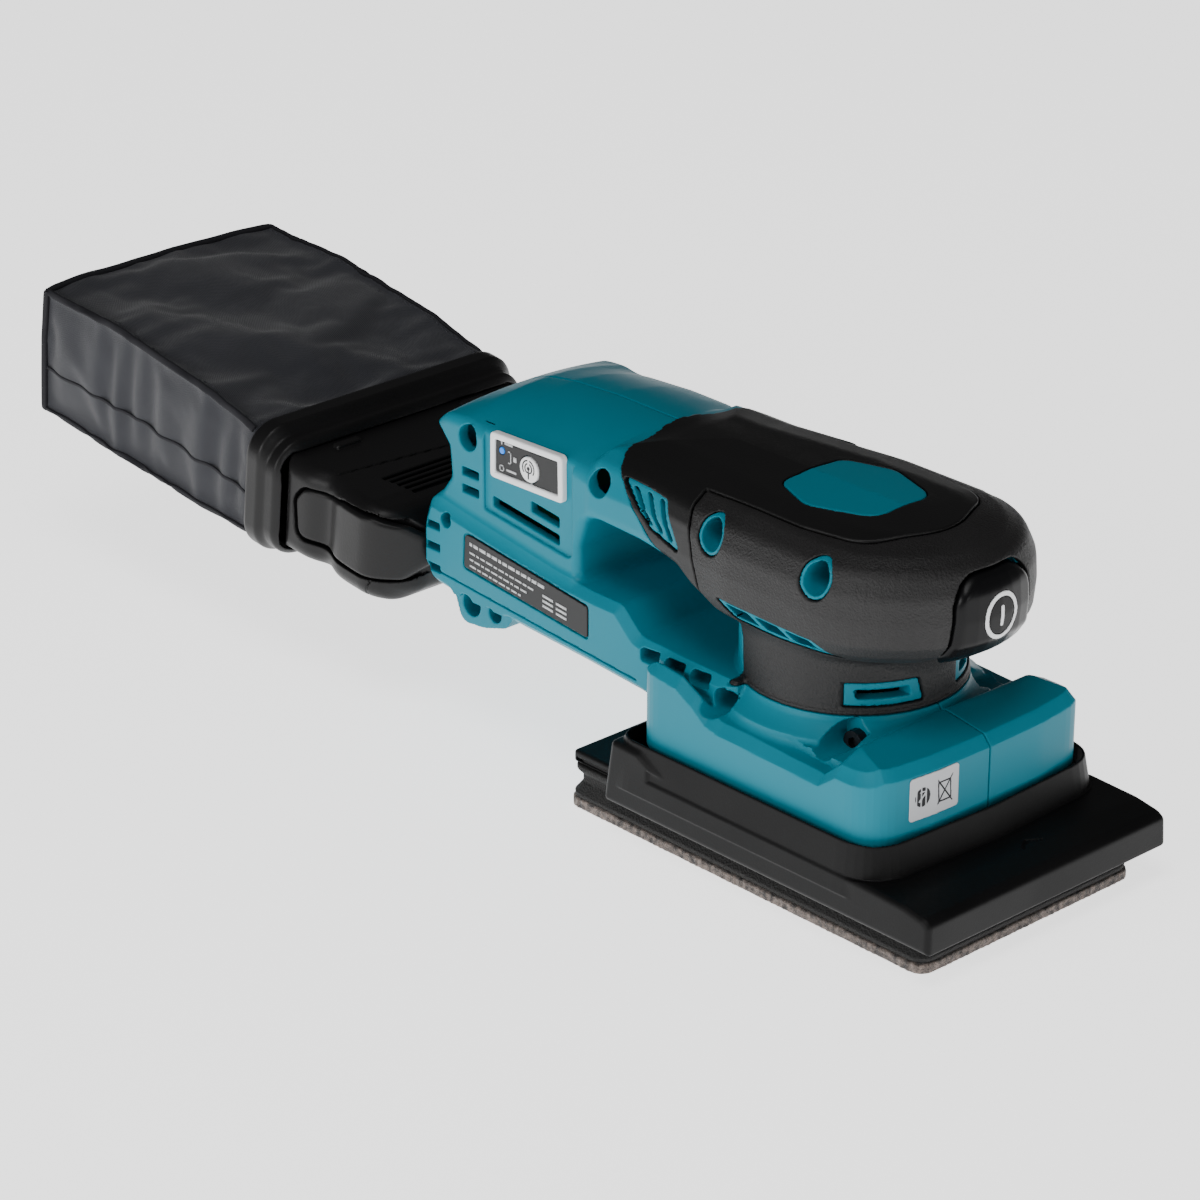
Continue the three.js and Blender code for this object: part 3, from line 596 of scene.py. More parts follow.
# ---- Pad ----

SHROUD_SIDE = Outline([
    (-72.9, 10.2, 0.6), (-72.7, 18.4, 1.8), (-70.5, 19.9, 4), (-63, 21.2, 20), (-46, 21.8, 20),
    (-20, 22.2, 20),
    (9, 22.4, 8), (24, 23.6, 6), (34, 28.2, 4), (46.6, 28.6, 1.5), (46.9, 10.2)])
RING_PLAN = Outline([
    (-44.6, 45.4, 9), (-44.6, -52.4, 14), (0, -54.6, 60), (44.6, -52.4, 14), (44.6, 45.4, 9)])
SHROUD_HALF = 45.6


def shroud_field(x, y, z):
    side = np.abs(x) - SHROUD_HALF + 0.05 * (z - 10.2)
    rear_lean = y - 46.9 + 0.12 * (z - 10.2)
    body = meet(meet(side, rear_lean, 2.0), SHROUD_SIDE(y, z), 1.6)
    ring = RING_PLAN(x, y)
    channel = length(ring + 0.2, z - 22.6) - 1.5
    body = cut(body, both(channel, y - 30), 0.7)
    wall = meet(ring + 0.18 * (z - 22), z - 30.2, 0.5)
    wall = both(wall, 16.4 - z)
    body = join(body, wall, 0.8)
    well = both(ring + 2.1, 5 - z)
    body = cut(body, well, 0.3)
    hollow = rounded_box(x, y, z, (-43.2, -70.4, 0), (43.2, 60, 17.6), 1.2)
    body = cut(body, hollow, 0.3)
    arrow = both(np.abs(np.abs(x - 4) * 0.62 + (-63 - y) * -1.0 - 2.6) - 0.35, np.abs(x - 4) - 4.2)
    return cut(body, both(arrow, 20.9 - z), 0.2)


def plate_field(x, y, z):
    plate = rounded_box(x, y, z, (-39.2, -65, 12.75), (39.2, 65, 16.5), 1.0)
    wall = both(length(x, y) - 14, slab(z, 15, 21.2))
    plate = join(plate, wall, 1.0)
    groove = both(np.abs(rounded_rect(x, y, -39.2, 39.2, -65, 65, 4)) - 0.5, slab(z, 13.6, 14.4))
    plate = cut(plate, groove, 0.2)
    return cut(plate, both(length(x, y) - 11.2, slab(z, 13.8, 30)), 0.2)


def foam_field(x, y, z):
    inset = np.interp(z, [3.0, 4.4, 5.2, 7.2, 9.4, 10.4, 11.2, 12.5],
        [0.5, 0.3, 1.0, 2.6, 2.6, 1.6, 0.9, 0.9])
    side = rounded_rect(x, y, -40.5, 40.5, -66.5, 66.5, 5) + inset
    return meet(side, slab(z, 3.0, 12.5), 0.4)


def felt_field(x, y, z):
    wave = 0.16 * np.sin(1.7 * x + 1.1 * y) * np.sin(0.9 * x - 1.6 * y) + 0.1 * np.sin(3.1 * (x + y))
    side = rounded_rect(x, y, -40.5, 40.5, -66.5, 66.5, 4.5) + wave * 0.6 + 0.05
    return meet(side, slab(z, 0, 2.8 + 0.3 * wave), 0.5)


def build_pad():
    low = (-46.5, -74, 9)
    shroud = moulded("shroud", shroud_field, low, (46.5, 48, 31))
    plate = moulded("pad_plate", plate_field, (-40, -66, 12), (40, 66, 22))
    foam = moulded("foam_block", foam_field, (-41, -67, 2.5), (41, 67, 13))
    felt = moulded("hook_layer", felt_field, (-41.5, -67.5, -0.3), (41.5, 67.5, 3.3))
    return shroud, plate, foam, felt


# ---- Dust box ----

HEAD_TOP_SIDE = Outline([
    (0.6, -12.4, 4), (0.6, 6, 5), (7, 11.6, 8), (14, 12.5, 8), (48.8, 12.9), (48.8, -17), (5, -16.6, 5)])
LEVER = Outline([
    (-2.2, -2.5, 2), (2.5, -8.6, 2), (10, -9.2, 3), (24, -9.4, 10), (41, -9.4, 4), (42.6, 2, 4),
    (39, 6.6, 4.5),
    (30, 7.0, 6), (22, 9.2, 4), (10, 9.6, 3), (3, 8.0, 3), (-1.4, 4, 3)])
BOX_HEAD_HALF = 44.2
LEVER_THICK = 2.9
LEVER_PIVOT = 27.0


def box_side(y):
    """Half-width of the dust box's head: full at the frame, scooped for a finger, round at the nose."""
    scoop = 2.6 * np.exp(-((y - 30.5) / 5.2) ** 2)
    nose = 11.0 * np.clip((14 - y) / 14, 0, 1.1) ** 2.2
    return BOX_HEAD_HALF - scoop - nose


def box_head_form(x, y, z):
    side = (np.abs(x) - box_side(y)) * 0.93
    return meet(side, HEAD_TOP_SIDE(y, z), 5.0)


def lever_floor(y):
    """Half-width of the bay behind a lever, with room for the lever to rock on its pin."""
    return box_side(y) - LEVER_THICK - 0.7 - 0.085 * np.abs(y - LEVER_PIVOT)


def box_head_field(x, y, z):
    form = box_head_form(x, y, z)
    shape = both(form, y - 48.8)
    room = both(form + 2.4, np.abs(x) - lever_floor(y) + 1.6, 3.2 - y)
    room = either(room, both(np.abs(x) - 41.6, slab(z, -14.4, 10.4), 44 - y))
    shape = both(shape, -room)
    flange = rounded_box(x, y, z, (-21, -3, -7.4), (21, 4, 3.6), 1)
    shape = either(shape, flange)
    shape = cut(shape, rounded_box(x, y, z, (-18, -6, -5.2), (18, 6, 1.0), 0.5), 0.3)
    lever_bay = both(LEVER(y, z) - 0.75, lever_floor(y) - np.abs(x))
    shape = cut(shape, lever_bay, 0.35)
    for at in (12.2, 14.7, 17.2, 19.7, 22.2):
        reach = 29 - 0.25 * (22.2 - at)
        louvre = rounded_box(x, y, z, (-reach, at - 0.65, 11.2), (reach, at + 0.65, 20), 0.3)
        shape = cut(shape, louvre, 0.25)
    shape = cut(shape, both(np.abs(y - 27.5 - 0.1 * np.abs(x)) - 0.28, slab(z, 12.3, 20)), 0.12)
    split = both(np.abs(y - 9.5 + 0.3 * (z + 10)) - 0.25, -form - 0.5, z + 9.6)
    shape = cut(shape, split, 0.1)
    for at in (-24.0, 24.0):
        tab = rounded_box(x, y, z, (at - 4.5, 42.8, 11), (at + 4.5, 45.6, 13.9), 0.6)
        shape = join(shape, tab, 0.4)
    return shape


def lever_field(side):
    def field(x, y, z):
        out = side * x
        edge = LEVER(y, z)
        skin = out - box_side(y) - 0.35 * ease(-y, -24, -14) - 0.2
        skin = skin + 0.35 * ease(y, 24, 30)
        shape = meet(edge, skin, 1.3)
        return meet(shape, box_side(y) - LEVER_THICK - out, 0.3)
    return field


PIN_AT = 41.0


def hinge_pin(name, side):
    """The short pin that a lever turns on, inside the head's cheek."""
    def field(x, y, z):
        return both(length(x - side * PIN_AT, y - LEVER_PIVOT) - 0.75, slab(z, -8.5, 6.0))
    low = (side * PIN_AT - 1.5, 25, -12.5)
    high = (side * PIN_AT + 1.5, 29, 10.5)
    return moulded(name, field, low, high, 0.3, pitched=True)


def frame_rim(y):
    """Half-width, bottom and top of the frame along its length, in two steps."""
    step = 0.45 * ease(y, 46.8, 49.6) + 0.55 * ease(y, 52.2, 55.6)
    return 46.2 + 1.9 * step, -19.6 - 2.0 * step, 13.8 + 5.0 * step


def frame_field(x, y, z):
    half, low, high = frame_rim(y)
    middle = (low + high) / 2
    tall = (high - low) / 2
    du = np.abs(x) - half + 10
    dv = np.abs(z - middle) - tall + 10
    outer = length(np.maximum(du, 0), np.maximum(dv, 0)) + np.minimum(both(du, dv), 0) - 10
    shape = meet(outer * 0.95, slab(y, 46.9, 61.2), 2.0)
    front = rounded_rect(x, z, -44.9, 44.9, -17.8, 13.1, 5.5)
    rear = rounded_rect(x, z, -44.4, 44.4, -18.6, 14.6, 7)
    shape = cut(shape, both(front, y - 50), 0.5)
    return cut(shape, both(rear, 49.9 - y), 0.2)


def build_dust_box():
    head = moulded("dust_box_head", box_head_field, (-45.5, -4, -18.5), (45.5, 50, 15), pitched=True)
    left = moulded("lever_left", lever_field(-1), (-46, -4, -11), (-26, 44, 11), FINE_CELL, pitched=True)
    right = moulded("lever_right", lever_field(1), (26, -4, -11), (46, 44, 11), FINE_CELL, pitched=True)
    rim = moulded("dust_box_frame", frame_field, (-49, 46, -23), (49, 62, 20.5), pitched=True)
    return head, left, right, rim


# ---- Small parts on the housing ----

BUTTON_MARK = (0.0, 83.6)
KEY_AT = (91.0, 88.2)
LIGHT_AT = (102.2, 90.4)


def button_skin(x, y, z):
    return head_form(x, y, z, 0.9) + 0.9 * ease(z, 90, 97)


def button_field(x, y, z):
    face = meet(button_room(x, z, -0.25), button_skin(x, y, z), 1.6)
    shape = both(face, y + 43.5, 69.8 - z)
    ring = np.abs(length((x - BUTTON_MARK[0]) * 1.12, z - BUTTON_MARK[1]) - 5.9) - 0.75
    return cut(shape, both(ring, -button_skin(x, y, z) - 0.2), 0.05)


def button_mark_field(x, y, z):
    u = x - BUTTON_MARK[0]
    v = z - BUTTON_MARK[1]
    ring = np.abs(length(u * 1.12, v) - 5.9) - 0.62
    bar = rounded_rect(u, v, -0.5, 0.5, -2.9, 2.9, 0.45)
    sheet = np.abs(button_skin(x, y, z) - 0.02) - 0.16
    return both(either(ring, bar), sheet, y + 43)


def badge_field(x, y, z):
    plate = meet(BADGE(x, y), head_form(x, y, z, 0.45), 0.5)
    return both(plate, -(head_form(x, y, z) + 1.4))


def bezel_field(x, y, z):
    ring = both(PANEL(y, z), -(PANEL(y, z) + 1.9))
    return meet(ring, slab(-x, 29.4, 31.8), 0.5)


def panel_face_field(x, y, z):
    inside = both(PANEL(y, z) + 2.05, slab(-x, 29.6, 31.25))
    inside = cut(inside, hole(y, z, KEY_AT, 3.9), 0.1)
    return cut(inside, hole(y, z, LIGHT_AT, 1.15), 0.1)


def front_skin(x, y, z):
    return np.abs(base_form(x, y, z) - 0.12) - 0.14


def sticker_field(x, y, z):
    return both(rounded_rect(x, z, -28.7, -11.7, 33.4, 45.6, 1.2), front_skin(x, y, z), y + 40)


def sticker_mark_field(x, y, z):
    disc = length((x + 24.4) * 1.05, z - 39.6) - 2.7
    bin_shape = np.abs(rounded_rect(x + (z - 39) * 0.06, z, -19.0, -14.6, 36.6, 42.0, 0.3)) - 0.22
    cross = either(np.abs(x + 16.8 - (z - 39.4) * 0.75), np.abs(x + 16.8 + (z - 39.4) * 0.75)) * 0.8 - 0.22
    cross = both(cross, np.abs(z - 39.4) - 4.4)
    check = either(np.abs(x + 24.6 - (z - 39.4)) * 0.7, np.abs(z - 41.2)) - 0.28
    check = both(check, length(x + 24.4, z - 39.6) - 1.7)
    marks = either(both(disc, -check), bin_shape, cross)
    sheet = np.abs(base_form(x, y, z) - 0.27) - 0.07
    return both(marks, sheet, y + 40)


def label_field(x, y, z):
    return meet(LABEL(y, z) + 0.15, slab(-x, BEAM_HALF - 0.65, BEAM_HALF - 0.05), 0.15)


def plates(name, boxes, x_out, thick=0.12):
    """Small printed marks lying on a side face, each a thin box (y0, y1, z0, z1)."""
    vertices = []
    faces = []
    for y0, y1, z0, z1, slope in boxes:
        start = len(vertices)
        for x in (-x_out, -x_out - thick):
            for y, z in ((y0, z0), (y1, z0), (y1, z1), (y0, z1)):
                vertices.append((x, y, z + slope * (y - y0)))
        faces += [[start + i for i in quad] for quad in (
            (4, 7, 6, 5), (0, 1, 2, 3), (0, 4, 5, 1), (1, 5, 6, 2), (2, 6, 7, 3), (3, 7, 4, 0))]
    return mesh_object(name, np.array(vertices), np.array(faces))


def label_marks():
    """Rows of short bars in place of print, and two small stacks of lines beside them."""
    boxes = []
    slope = 0.104
    rows = [(113.2, 84.0, 59.6, 0.95), (113.2, 88.0, 57.2, 0.55), (113.2, 90.0, 55.2, 0.55),
        (113.2, 93.0, 53.3, 0.55)]
    for row, (start, stop, height, tall) in enumerate(rows):
        at = start
        step = 0
        while at > stop:
            wide = 1.1 + 1.5 * ((step * 7 + row * 3) % 5) / 4
            z = height + slope * (at - wide - 113.2)
            boxes.append((at - wide, at, z, z + tall, slope))
            at -= wide + 0.55
            step += 1
    for y0 in (79.0, 73.6):
        z = 50.6 + slope * (y0 - 79)
        for line in (0.0, 1.5, 3.0):
            boxes.append((y0, y0 + 4.2, z + line, z + line + 0.7, slope))
    return plates("label_print", boxes, BEAM_HALF - 0.05)


def panel_marks():
    """Bars, a small square, a bracket and a dot around the light."""
    boxes = [(102.0, 102.4, 92.3, 93.5, 0), (97.8, 101.0, 92.6, 93.2, 0),
             (101.4, 103.2, 84.4, 84.7, 0), (101.4, 103.2, 85.9, 86.2, 0), (101.4, 101.7, 84.4, 86.2, 0),
             (102.9, 103.2, 84.4, 86.2, 0), (96.4, 100.4, 85.0, 85.6, 0),
             (98.4, 99.6, 90.7, 91.0, 0), (98.4, 99.6, 87.4, 87.7, 0), (98.4, 98.7, 87.4, 91.0, 0),
             (96.3, 97.5, 88.5, 89.9, 0)]
    return plates("panel_print", boxes, 31.25, 0.1)


def icon_field(x, y, z):
    """A round white key; its two dark arcs and stem are drawn by icon_marks_field."""
    return meet(hole(y, z, KEY_AT, 3.65), slab(-x, 30.0, 31.7), 0.35)


def icon_marks_field(x, y, z):
    at_y = KEY_AT[0]
    low = KEY_AT[1]
    radius = length(y - at_y, z - low - 0.4)
    arcs = either(np.abs(radius - 2.3), np.abs(radius - 1.35)) - 0.2
    arcs = both(arcs, 0.35 - np.abs(y - at_y), low - 1.0 - z)
    stem = rounded_rect(y, z, at_y - 0.25, at_y + 0.25, low - 2.7, low + 0.4, 0.1)
    dot = radius - 0.55
    return both(either(arcs, stem, dot), slab(-x, 31.6, 31.8))


def light_field(x, y, z):
    return meet(hole(y, z, LIGHT_AT, 1.0), slab(-x, 30.4, 31.45), 0.3)


def build_details():
    fine = FINE_CELL
    made = {}
    made["button"] = moulded("button_cap", button_field, (-15, -54.5, 69), (15, -42, 98))
    made["button_mark"] = moulded("button_symbol", button_mark_field, (-7, -54.5, 76.5), (7, -50, 91), 0.25)
    made["badge"] = moulded("badge_plate", badge_field, (-18, -19, 99.5), (18, 17, 104))
    made["bezel"] = moulded("panel_bezel", bezel_field, (-32.5, 76, 80.5), (-29, 108.5, 97), fine)
    made["face"] = moulded("panel_face", panel_face_field, (-31.8, 78, 82), (-29, 107, 96), fine)
    made["icon"] = moulded("panel_key", icon_field, (-32, 87, 84), (-29.6, 95, 92.4), fine)
    made["icon_marks"] = moulded("panel_key_mark", icon_marks_field, (-32, 87.4, 84.5), (-31.4, 94.6, 92),
        0.14)
    made["light"] = moulded("panel_light", light_field, (-31.8, 100.7, 88.9), (-30, 103.7, 91.9), 0.2)
    made["sticker"] = moulded("front_sticker", sticker_field, (-30, -52, 32), (-10.5, -48, 47), 0.25)
    made["sticker_marks"] = moulded("front_sticker_print", sticker_mark_field, (-29, -52, 34),
        (-12, -48, 46), 0.16)
    made["label"] = moulded("rating_plate", label_field, (-34.3, 64, 46), (-32.8, 117, 64), fine)
    made["label_marks"] = label_marks()
    made["panel_marks"] = panel_marks()
    return made


# ---- Cloth bag ----

BAG_FRONT = 58.0
BAG_REAR = 165.6
BAG_MIDDLE = np.array([0, 110, -1.0])


def bag_section(y):
    """Half-width, bottom and top of the bag along the dust box."""
    half = np.interp(y, [58, 64, 85, 130, 166], [43.6, 44.6, 45.2, 45.0, 44.2])
    low = np.interp(y, [58, 64, 85, 130, 166], [-18.0, -18.6, -19.4, -20.2, -20.6])
    high = np.interp(y, [58, 64, 85, 130, 166], [14.0, 16.8, 20.0, 22.0, 19.4])
    return half, low, high


def bag_point(u, v, w):
    """A point of the slack bag: u across, v along and w up, each from 0 to 1."""
    y = BAG_FRONT + (BAG_REAR - BAG_FRONT) * v
    half, low, high = bag_section(y)
    round_off = 1.0 - 0.02 * (2 * w - 1) ** 2
    x = (2 * u - 1) * half * round_off
    z = low + (high - low) * w
    y = y - 2.0 * (abs(2 * u - 1) ** 4) * ease(np.array(v), 0.9, 1.0)
    return np.array([x, float(y), z])


def bag_cells():
    """Grid points and faces of a five-sided cloth box, open at the frame."""
    nx, ny, nz = ((30, 36, 13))
    index = {}
    points = []
    pins = []

    def vertex(i, j, k):
        if (i, j, k) not in index:
            index[i, j, k] = len(points)
            points.append(bag_point(i / nx, j / ny, k / nz))
            long_edge = i in (0, nx) and k in (0, nz)
            rear_edge = j == ny and (i in (0, nx) or k in (0, nz))
            pins.append(1.0 if j <= 1 else 0.9 if long_edge or rear_edge else 0.0)
        return index[i, j, k]

    faces = []
    for j in range(ny):
        for i in range(nx):
            faces.append([vertex(i, j, 0), vertex(i, j + 1, 0), vertex(i + 1, j + 1, 0), vertex(i + 1, j, 0)])
            faces.append([vertex(i, j, nz), vertex(i + 1, j, nz), vertex(i + 1, j + 1, nz),
                vertex(i, j + 1, nz)])
        for k in range(nz):
            faces.append([vertex(0, j, k), vertex(0, j, k + 1), vertex(0, j + 1, k + 1), vertex(0, j + 1, k)])
            faces.append([vertex(nx, j, k), vertex(nx, j + 1, k), vertex(nx, j + 1, k + 1),
                vertex(nx, j, k + 1)])
    for i in range(nx):
        for k in range(nz):
            faces.append([vertex(i, ny, k), vertex(i, ny, k + 1), vertex(i + 1, ny, k + 1),
                vertex(i + 1, ny, k)])
    return np.array(points), np.array(faces), pins


def fold_seed(points):
    """Small first waves that tell the cloth where to fold: upright ripples on the sides, long ones on top."""
    x, y, z = points.T
    half, low, high = bag_section(y)
    inner = ease(y, 60, 70) * ease(-y, -165, -155)
    up = (z - low) / (high - low)
    side = np.clip(np.abs(x) / half, 0, 1) > 0.985
    top = up > 0.985
    ripple = np.sin(y * 0.50 + 1.6 * np.sin(y * 0.11 + np.sign(x)) + 1.5 * up) * np.sin(np.pi * up) * inner
    slant = 0.085 * (y * 1.1 + x * 0.9) + 0.8 * np.sin(0.05 * x)
    waves = np.sin(slant) * np.cos(np.pi * x / (2 * half)) * inner
    moved = points.copy()
    moved[:, 0] += np.where(side, np.sign(x) * 0.9 * ripple, 0)
    moved[:, 2] += np.where(top, 1.2 * waves - 0.5 * inner, 0)
    return moved


def settle_cloth(piece, pins, frames=20):
    """Lets the slack cloth bulge and crease under a little pressure, held along its seams."""
    group = piece.vertex_groups.new(name="held")
    for i, weight in enumerate(pins):
        if weight > 0:
            group.add([i], weight, "REPLACE")
    cloth = piece.modifiers.new("cloth", "CLOTH")
    settings = cloth.settings
    settings.quality = 8
    settings.mass = 0.15
    settings.tension_stiffness = 25
    settings.compression_stiffness = 25
    settings.shear_stiffness = 8
    settings.bending_stiffness = 0.15
    settings.shrink_min = -0.022
    settings.vertex_group_mass = "held"
    settings.pin_stiffness = 1
    settings.use_pressure = True
    settings.uniform_pressure_force = 0.6
    settings.effector_weights.gravity = 0
    settings.air_damping = 3
    cloth.collision_settings.use_collision = False
    cloth.point_cache.frame_start = 1
    cloth.point_cache.frame_end = frames
    scene = bpy.context.scene
    for step in range(1, frames + 1):
        scene.frame_set(step)
    graph = bpy.context.evaluated_depsgraph_get()
    solved = piece.evaluated_get(graph).to_mesh()
    result = np.empty(len(solved.vertices) * 3)
    solved.vertices.foreach_get("co", result)
    piece.modifiers.remove(cloth)
    scene.frame_set(1)
    return result.reshape(-1, 3) / MM


def build_bag():
    points, faces, pins = bag_cells()
    start = fold_seed(points) @ TILT.T + BOX_AT
    piece = mesh_object("bag_cloth_body", start, faces)
    solved = settle_cloth(piece, pins)
    step = solved - start
    size = np.linalg.norm(step, axis=1, keepdims=True)
    step *= np.minimum(1, 4.0 / np.maximum(size, 1e-6))
    start = start + step
    piece.data.vertices.foreach_set("co", (start * MM).astype(np.float32).ravel())
    piece.data.update()
    smooth = piece.modifiers.new("smooth", "SUBSURF")
    smooth.levels = 2
    smooth.render_levels = 2
    return piece


def settled(piece):
    """The piece as its modifiers leave it."""
    return piece.evaluated_get(bpy.context.evaluated_depsgraph_get())


def cloth_place(shape, point):
    """The nearest point of the cloth, and the normal there that points out of the bag."""
    _, place, normal, _ = shape.closest_point_on_mesh(Vector(point * MM))
    place = np.array(place) / MM
    normal = np.array(normal)
    middle = BAG_MIDDLE @ TILT.T + BOX_AT
    return place, -normal if normal @ (place - middle) < 0 else normal


def tube_faces(start, rings, sides):
    """Quads between neighbouring rings of a tube whose vertices begin at start."""
    faces = []
    for ring in range(rings - 1):
        for k in range(sides):
            a = start + ring * sides + k
            b = start + ring * sides + (k + 1) % sides
            faces.append([a, b, b + sides, a + sides])
    return faces


def ribbon(name, piece, path, wide, thick, lift=0.0):
    """A strip along a path on the cloth, lying flat on it."""
    shape = settled(piece)
    places = [cloth_place(shape, point) for point in path @ TILT.T + BOX_AT]
    where = [place for place, _ in places]
    normals = [normal for _, normal in places]
    where = smooth_path(np.array(where), 2)
    normals = smooth_path(np.array(normals), 4)
    normals /= np.linalg.norm(normals, axis=1, keepdims=True)
    along = np.gradient(where, axis=0)
    along /= np.linalg.norm(along, axis=1, keepdims=True)
    across = np.cross(along, normals)
    vertices = []
    sides = 10
    for i in range(len(where)):
        for turn in np.arange(sides) * 2 * np.pi / sides:
            flat = np.sign(np.cos(turn)) * abs(np.cos(turn)) ** 0.6
            tall = np.sign(np.sin(turn)) * abs(np.sin(turn)) ** 0.8
            vertices.append(where[i] + across[i] * flat * wide / 2 + normals[i] * (tall * thick / 2 + lift))
    return mesh_object(name, np.array(vertices), np.array(tube_faces(0, len(where), sides)))


def smooth_path(path, rounds):
    for _ in range(rounds):
        path = path.copy()
        path[1:-1] = (path[:-2] + 2 * path[1:-1] + path[2:]) / 4
    return path


def stitches(name, piece, path, pitch=2.2):
    """A row of short thread bars along a path on the cloth."""
    shape = settled(piece)
    world = path @ TILT.T + BOX_AT
    steps = np.concatenate([[0], np.cumsum(np.linalg.norm(np.diff(world, axis=0), axis=1))])
    marks = np.arange(0, steps[-1], pitch)
    centres = np.stack([np.interp(marks, steps, world[:, k]) for k in range(3)], -1)
    vertices = []
    faces = []
    for i in range(len(centres) - 1):
        place, normal = cloth_place(shape, centres[i])
        along = centres[i + 1] - centres[i]
        along /= np.linalg.norm(along)
        across = np.cross(along, normal)
        start = len(vertices)
        for end, thick in ((-0.72, 0.05), (-0.4, 0.2), (0.4, 0.2), (0.72, 0.05)):
            for a, b in ((1, 0), (0, 1), (-1, 0), (0, -1)):
                vertices.append(place + along * end + across * a * thick * 1.2 + normal * (b * thick + 0.1))
        faces += tube_faces(start, 4, 4)
    return mesh_object(name, np.array(vertices), np.array(faces))


def bag_trim(piece):
    """Hems along the long top edges, piping round the rear and a seam low on each side."""
    along = np.linspace(62, 163.5, 90)
    half, low, high = bag_section(along)
    trims = []
    threads = []
    for side in (-1, 1):
        name = "left" if side < 0 else "right"
        edge = np.stack([side * (half + 0.5), along, high + 0.2], -1)
        trims.append(ribbon(f"bag_hem_{name}", piece, edge, 2.2, 1.2, 0.1))
        inner = np.stack([side * (half - 4.0), along, high + 2], -1)
        threads.append(stitches(f"bag_hem_thread_{name}", piece, inner))
        gusset = np.stack([side * (half + 2), along, low + 0.36 * (high - low)], -1)
        trims.append(ribbon(f"bag_gusset_{name}", piece, gusset, 1.1, 0.7, 0.0))
        edge = np.stack([side * (half + 0.4), along, low - 0.2], -1)
        trims.append(ribbon(f"bag_low_hem_{name}", piece, edge, 1.8, 1.0, 0.1))
    turn = np.linspace(0, 1, 40)
    half, low, high = (float(v) for v in bag_section(164.6))
    corners = [(-half, high), (half, high), (half, low), (-half, low), (-half, high)]
    loop = []
    for (x0, z0), (x1, z1) in zip(corners, corners[1:]):
        loop += [(x0 + (x1 - x0) * t, 164.4 - 2.0 * abs(x0 + (x1 - x0) * t) ** 4 / half ** 4,
            z0 + (z1 - z0) * t)
                 for t in turn[:-1]]
    loop.append(loop[0])
    trims.append(ribbon("bag_piping", piece, np.array(loop), 2.0, 2.0, 0.2))
    return trims, threads


# ---- Materials ----

def material(name, colour, roughness, metallic=0.0):
    made = bpy.data.materials.new(name)
    made.use_nodes = True
    shader = made.node_tree.nodes["Principled BSDF"]
    shader.inputs["Base Color"].default_value = (*colour, 1)
    shader.inputs["Roughness"].default_value = roughness
    shader.inputs["Metallic"].default_value = metallic
    return made, made.node_tree, shader


def add_node(tree, kind, **settings):
    node = tree.nodes.new(kind)
    for key, value in settings.items():
        if key in node.inputs:
            node.inputs[key].default_value = value
        else:
            setattr(node, key, value)
    return node


def noise(tree, scale, detail=3.0, rough=0.5, stretch=None):
    """Noise fixed to the object, at a scale in cycles per metre."""
    coords = add_node(tree, "ShaderNodeTexCoord")
    source = coords.outputs["Object"]
    if stretch:
        mapping = add_node(tree, "ShaderNodeMapping", Scale=stretch)
        tree.links.new(source, mapping.inputs["Vector"])
        source = mapping.outputs["Vector"]
    node = add_node(tree, "ShaderNodeTexNoise", Scale=scale, Detail=detail, Roughness=rough)
    tree.links.new(source, node.inputs["Vector"])
    return node.outputs["Fac"]


def remap(tree, value, low, high, to_low, to_high):
    node = add_node(tree, "ShaderNodeMapRange")
    node.inputs["From Min"].default_value = low
    node.inputs["From Max"].default_value = high
    node.inputs["To Min"].default_value = to_low
    node.inputs["To Max"].default_value = to_high
    tree.links.new(value, node.inputs["Value"])
    return node.outputs["Result"]


def bump(tree, shader, height, distance, strength=1.0):
    node = add_node(tree, "ShaderNodeBump", Strength=strength, Distance=distance)
    tree.links.new(height, node.inputs["Height"])
    tree.links.new(node.outputs["Normal"], shader.inputs["Normal"])
    return node


def mix_colour(tree, shader, factor, first, second, socket="Base Color"):
    node = add_node(tree, "ShaderNodeMix", data_type="RGBA")
    node.inputs[6].default_value = (*first, 1)
    node.inputs[7].default_value = (*second, 1)
    tree.links.new(factor, node.inputs[0])
    tree.links.new(node.outputs[2], shader.inputs[socket])
    return node


def moulded_plastic(name, colour, rough, grain=0.00003, grain_scale=2600, variation=0.06, shine=0.3):
    made, tree, shader = material(name, colour, rough)
    shader.inputs["Specular IOR Level"].default_value = shine
    fine = noise(tree, grain_scale, 2.0, 0.6)
    broad = noise(tree, 45, 3.0, 0.5)
    tree.links.new(remap(tree, broad, 0.3, 0.7, rough - 0.04, rough + 0.05), shader.inputs["Roughness"])
    dark = tuple(c * (1 - variation) for c in colour)
    light = tuple(min(1, c * (1 + variation)) for c in colour)
    mix_colour(tree, shader, broad, dark, light)
    bump(tree, shader, fine, grain, 0.5)
    return made


def speckled_felt():
    made, tree, shader = material("hook_felt", (0.1, 0.08, 0.07), 0.95)
    fine = noise(tree, 2300, 4.0, 0.75)
    broad = noise(tree, 500, 3.0, 0.6)
    mask = add_node(tree, "ShaderNodeMath", operation="MULTIPLY")
    tree.links.new(fine, mask.inputs[0])
    tree.links.new(broad, mask.inputs[1])
    mix_colour(tree, shader, remap(tree, mask.outputs[0], 0.17, 0.36, 0, 1), (0.012, 0.009, 0.008),
        (0.30, 0.235, 0.20))
    bump(tree, shader, fine, 0.0006, 1.0)
    shader.inputs["Sheen Weight"].default_value = 0.3
    return made


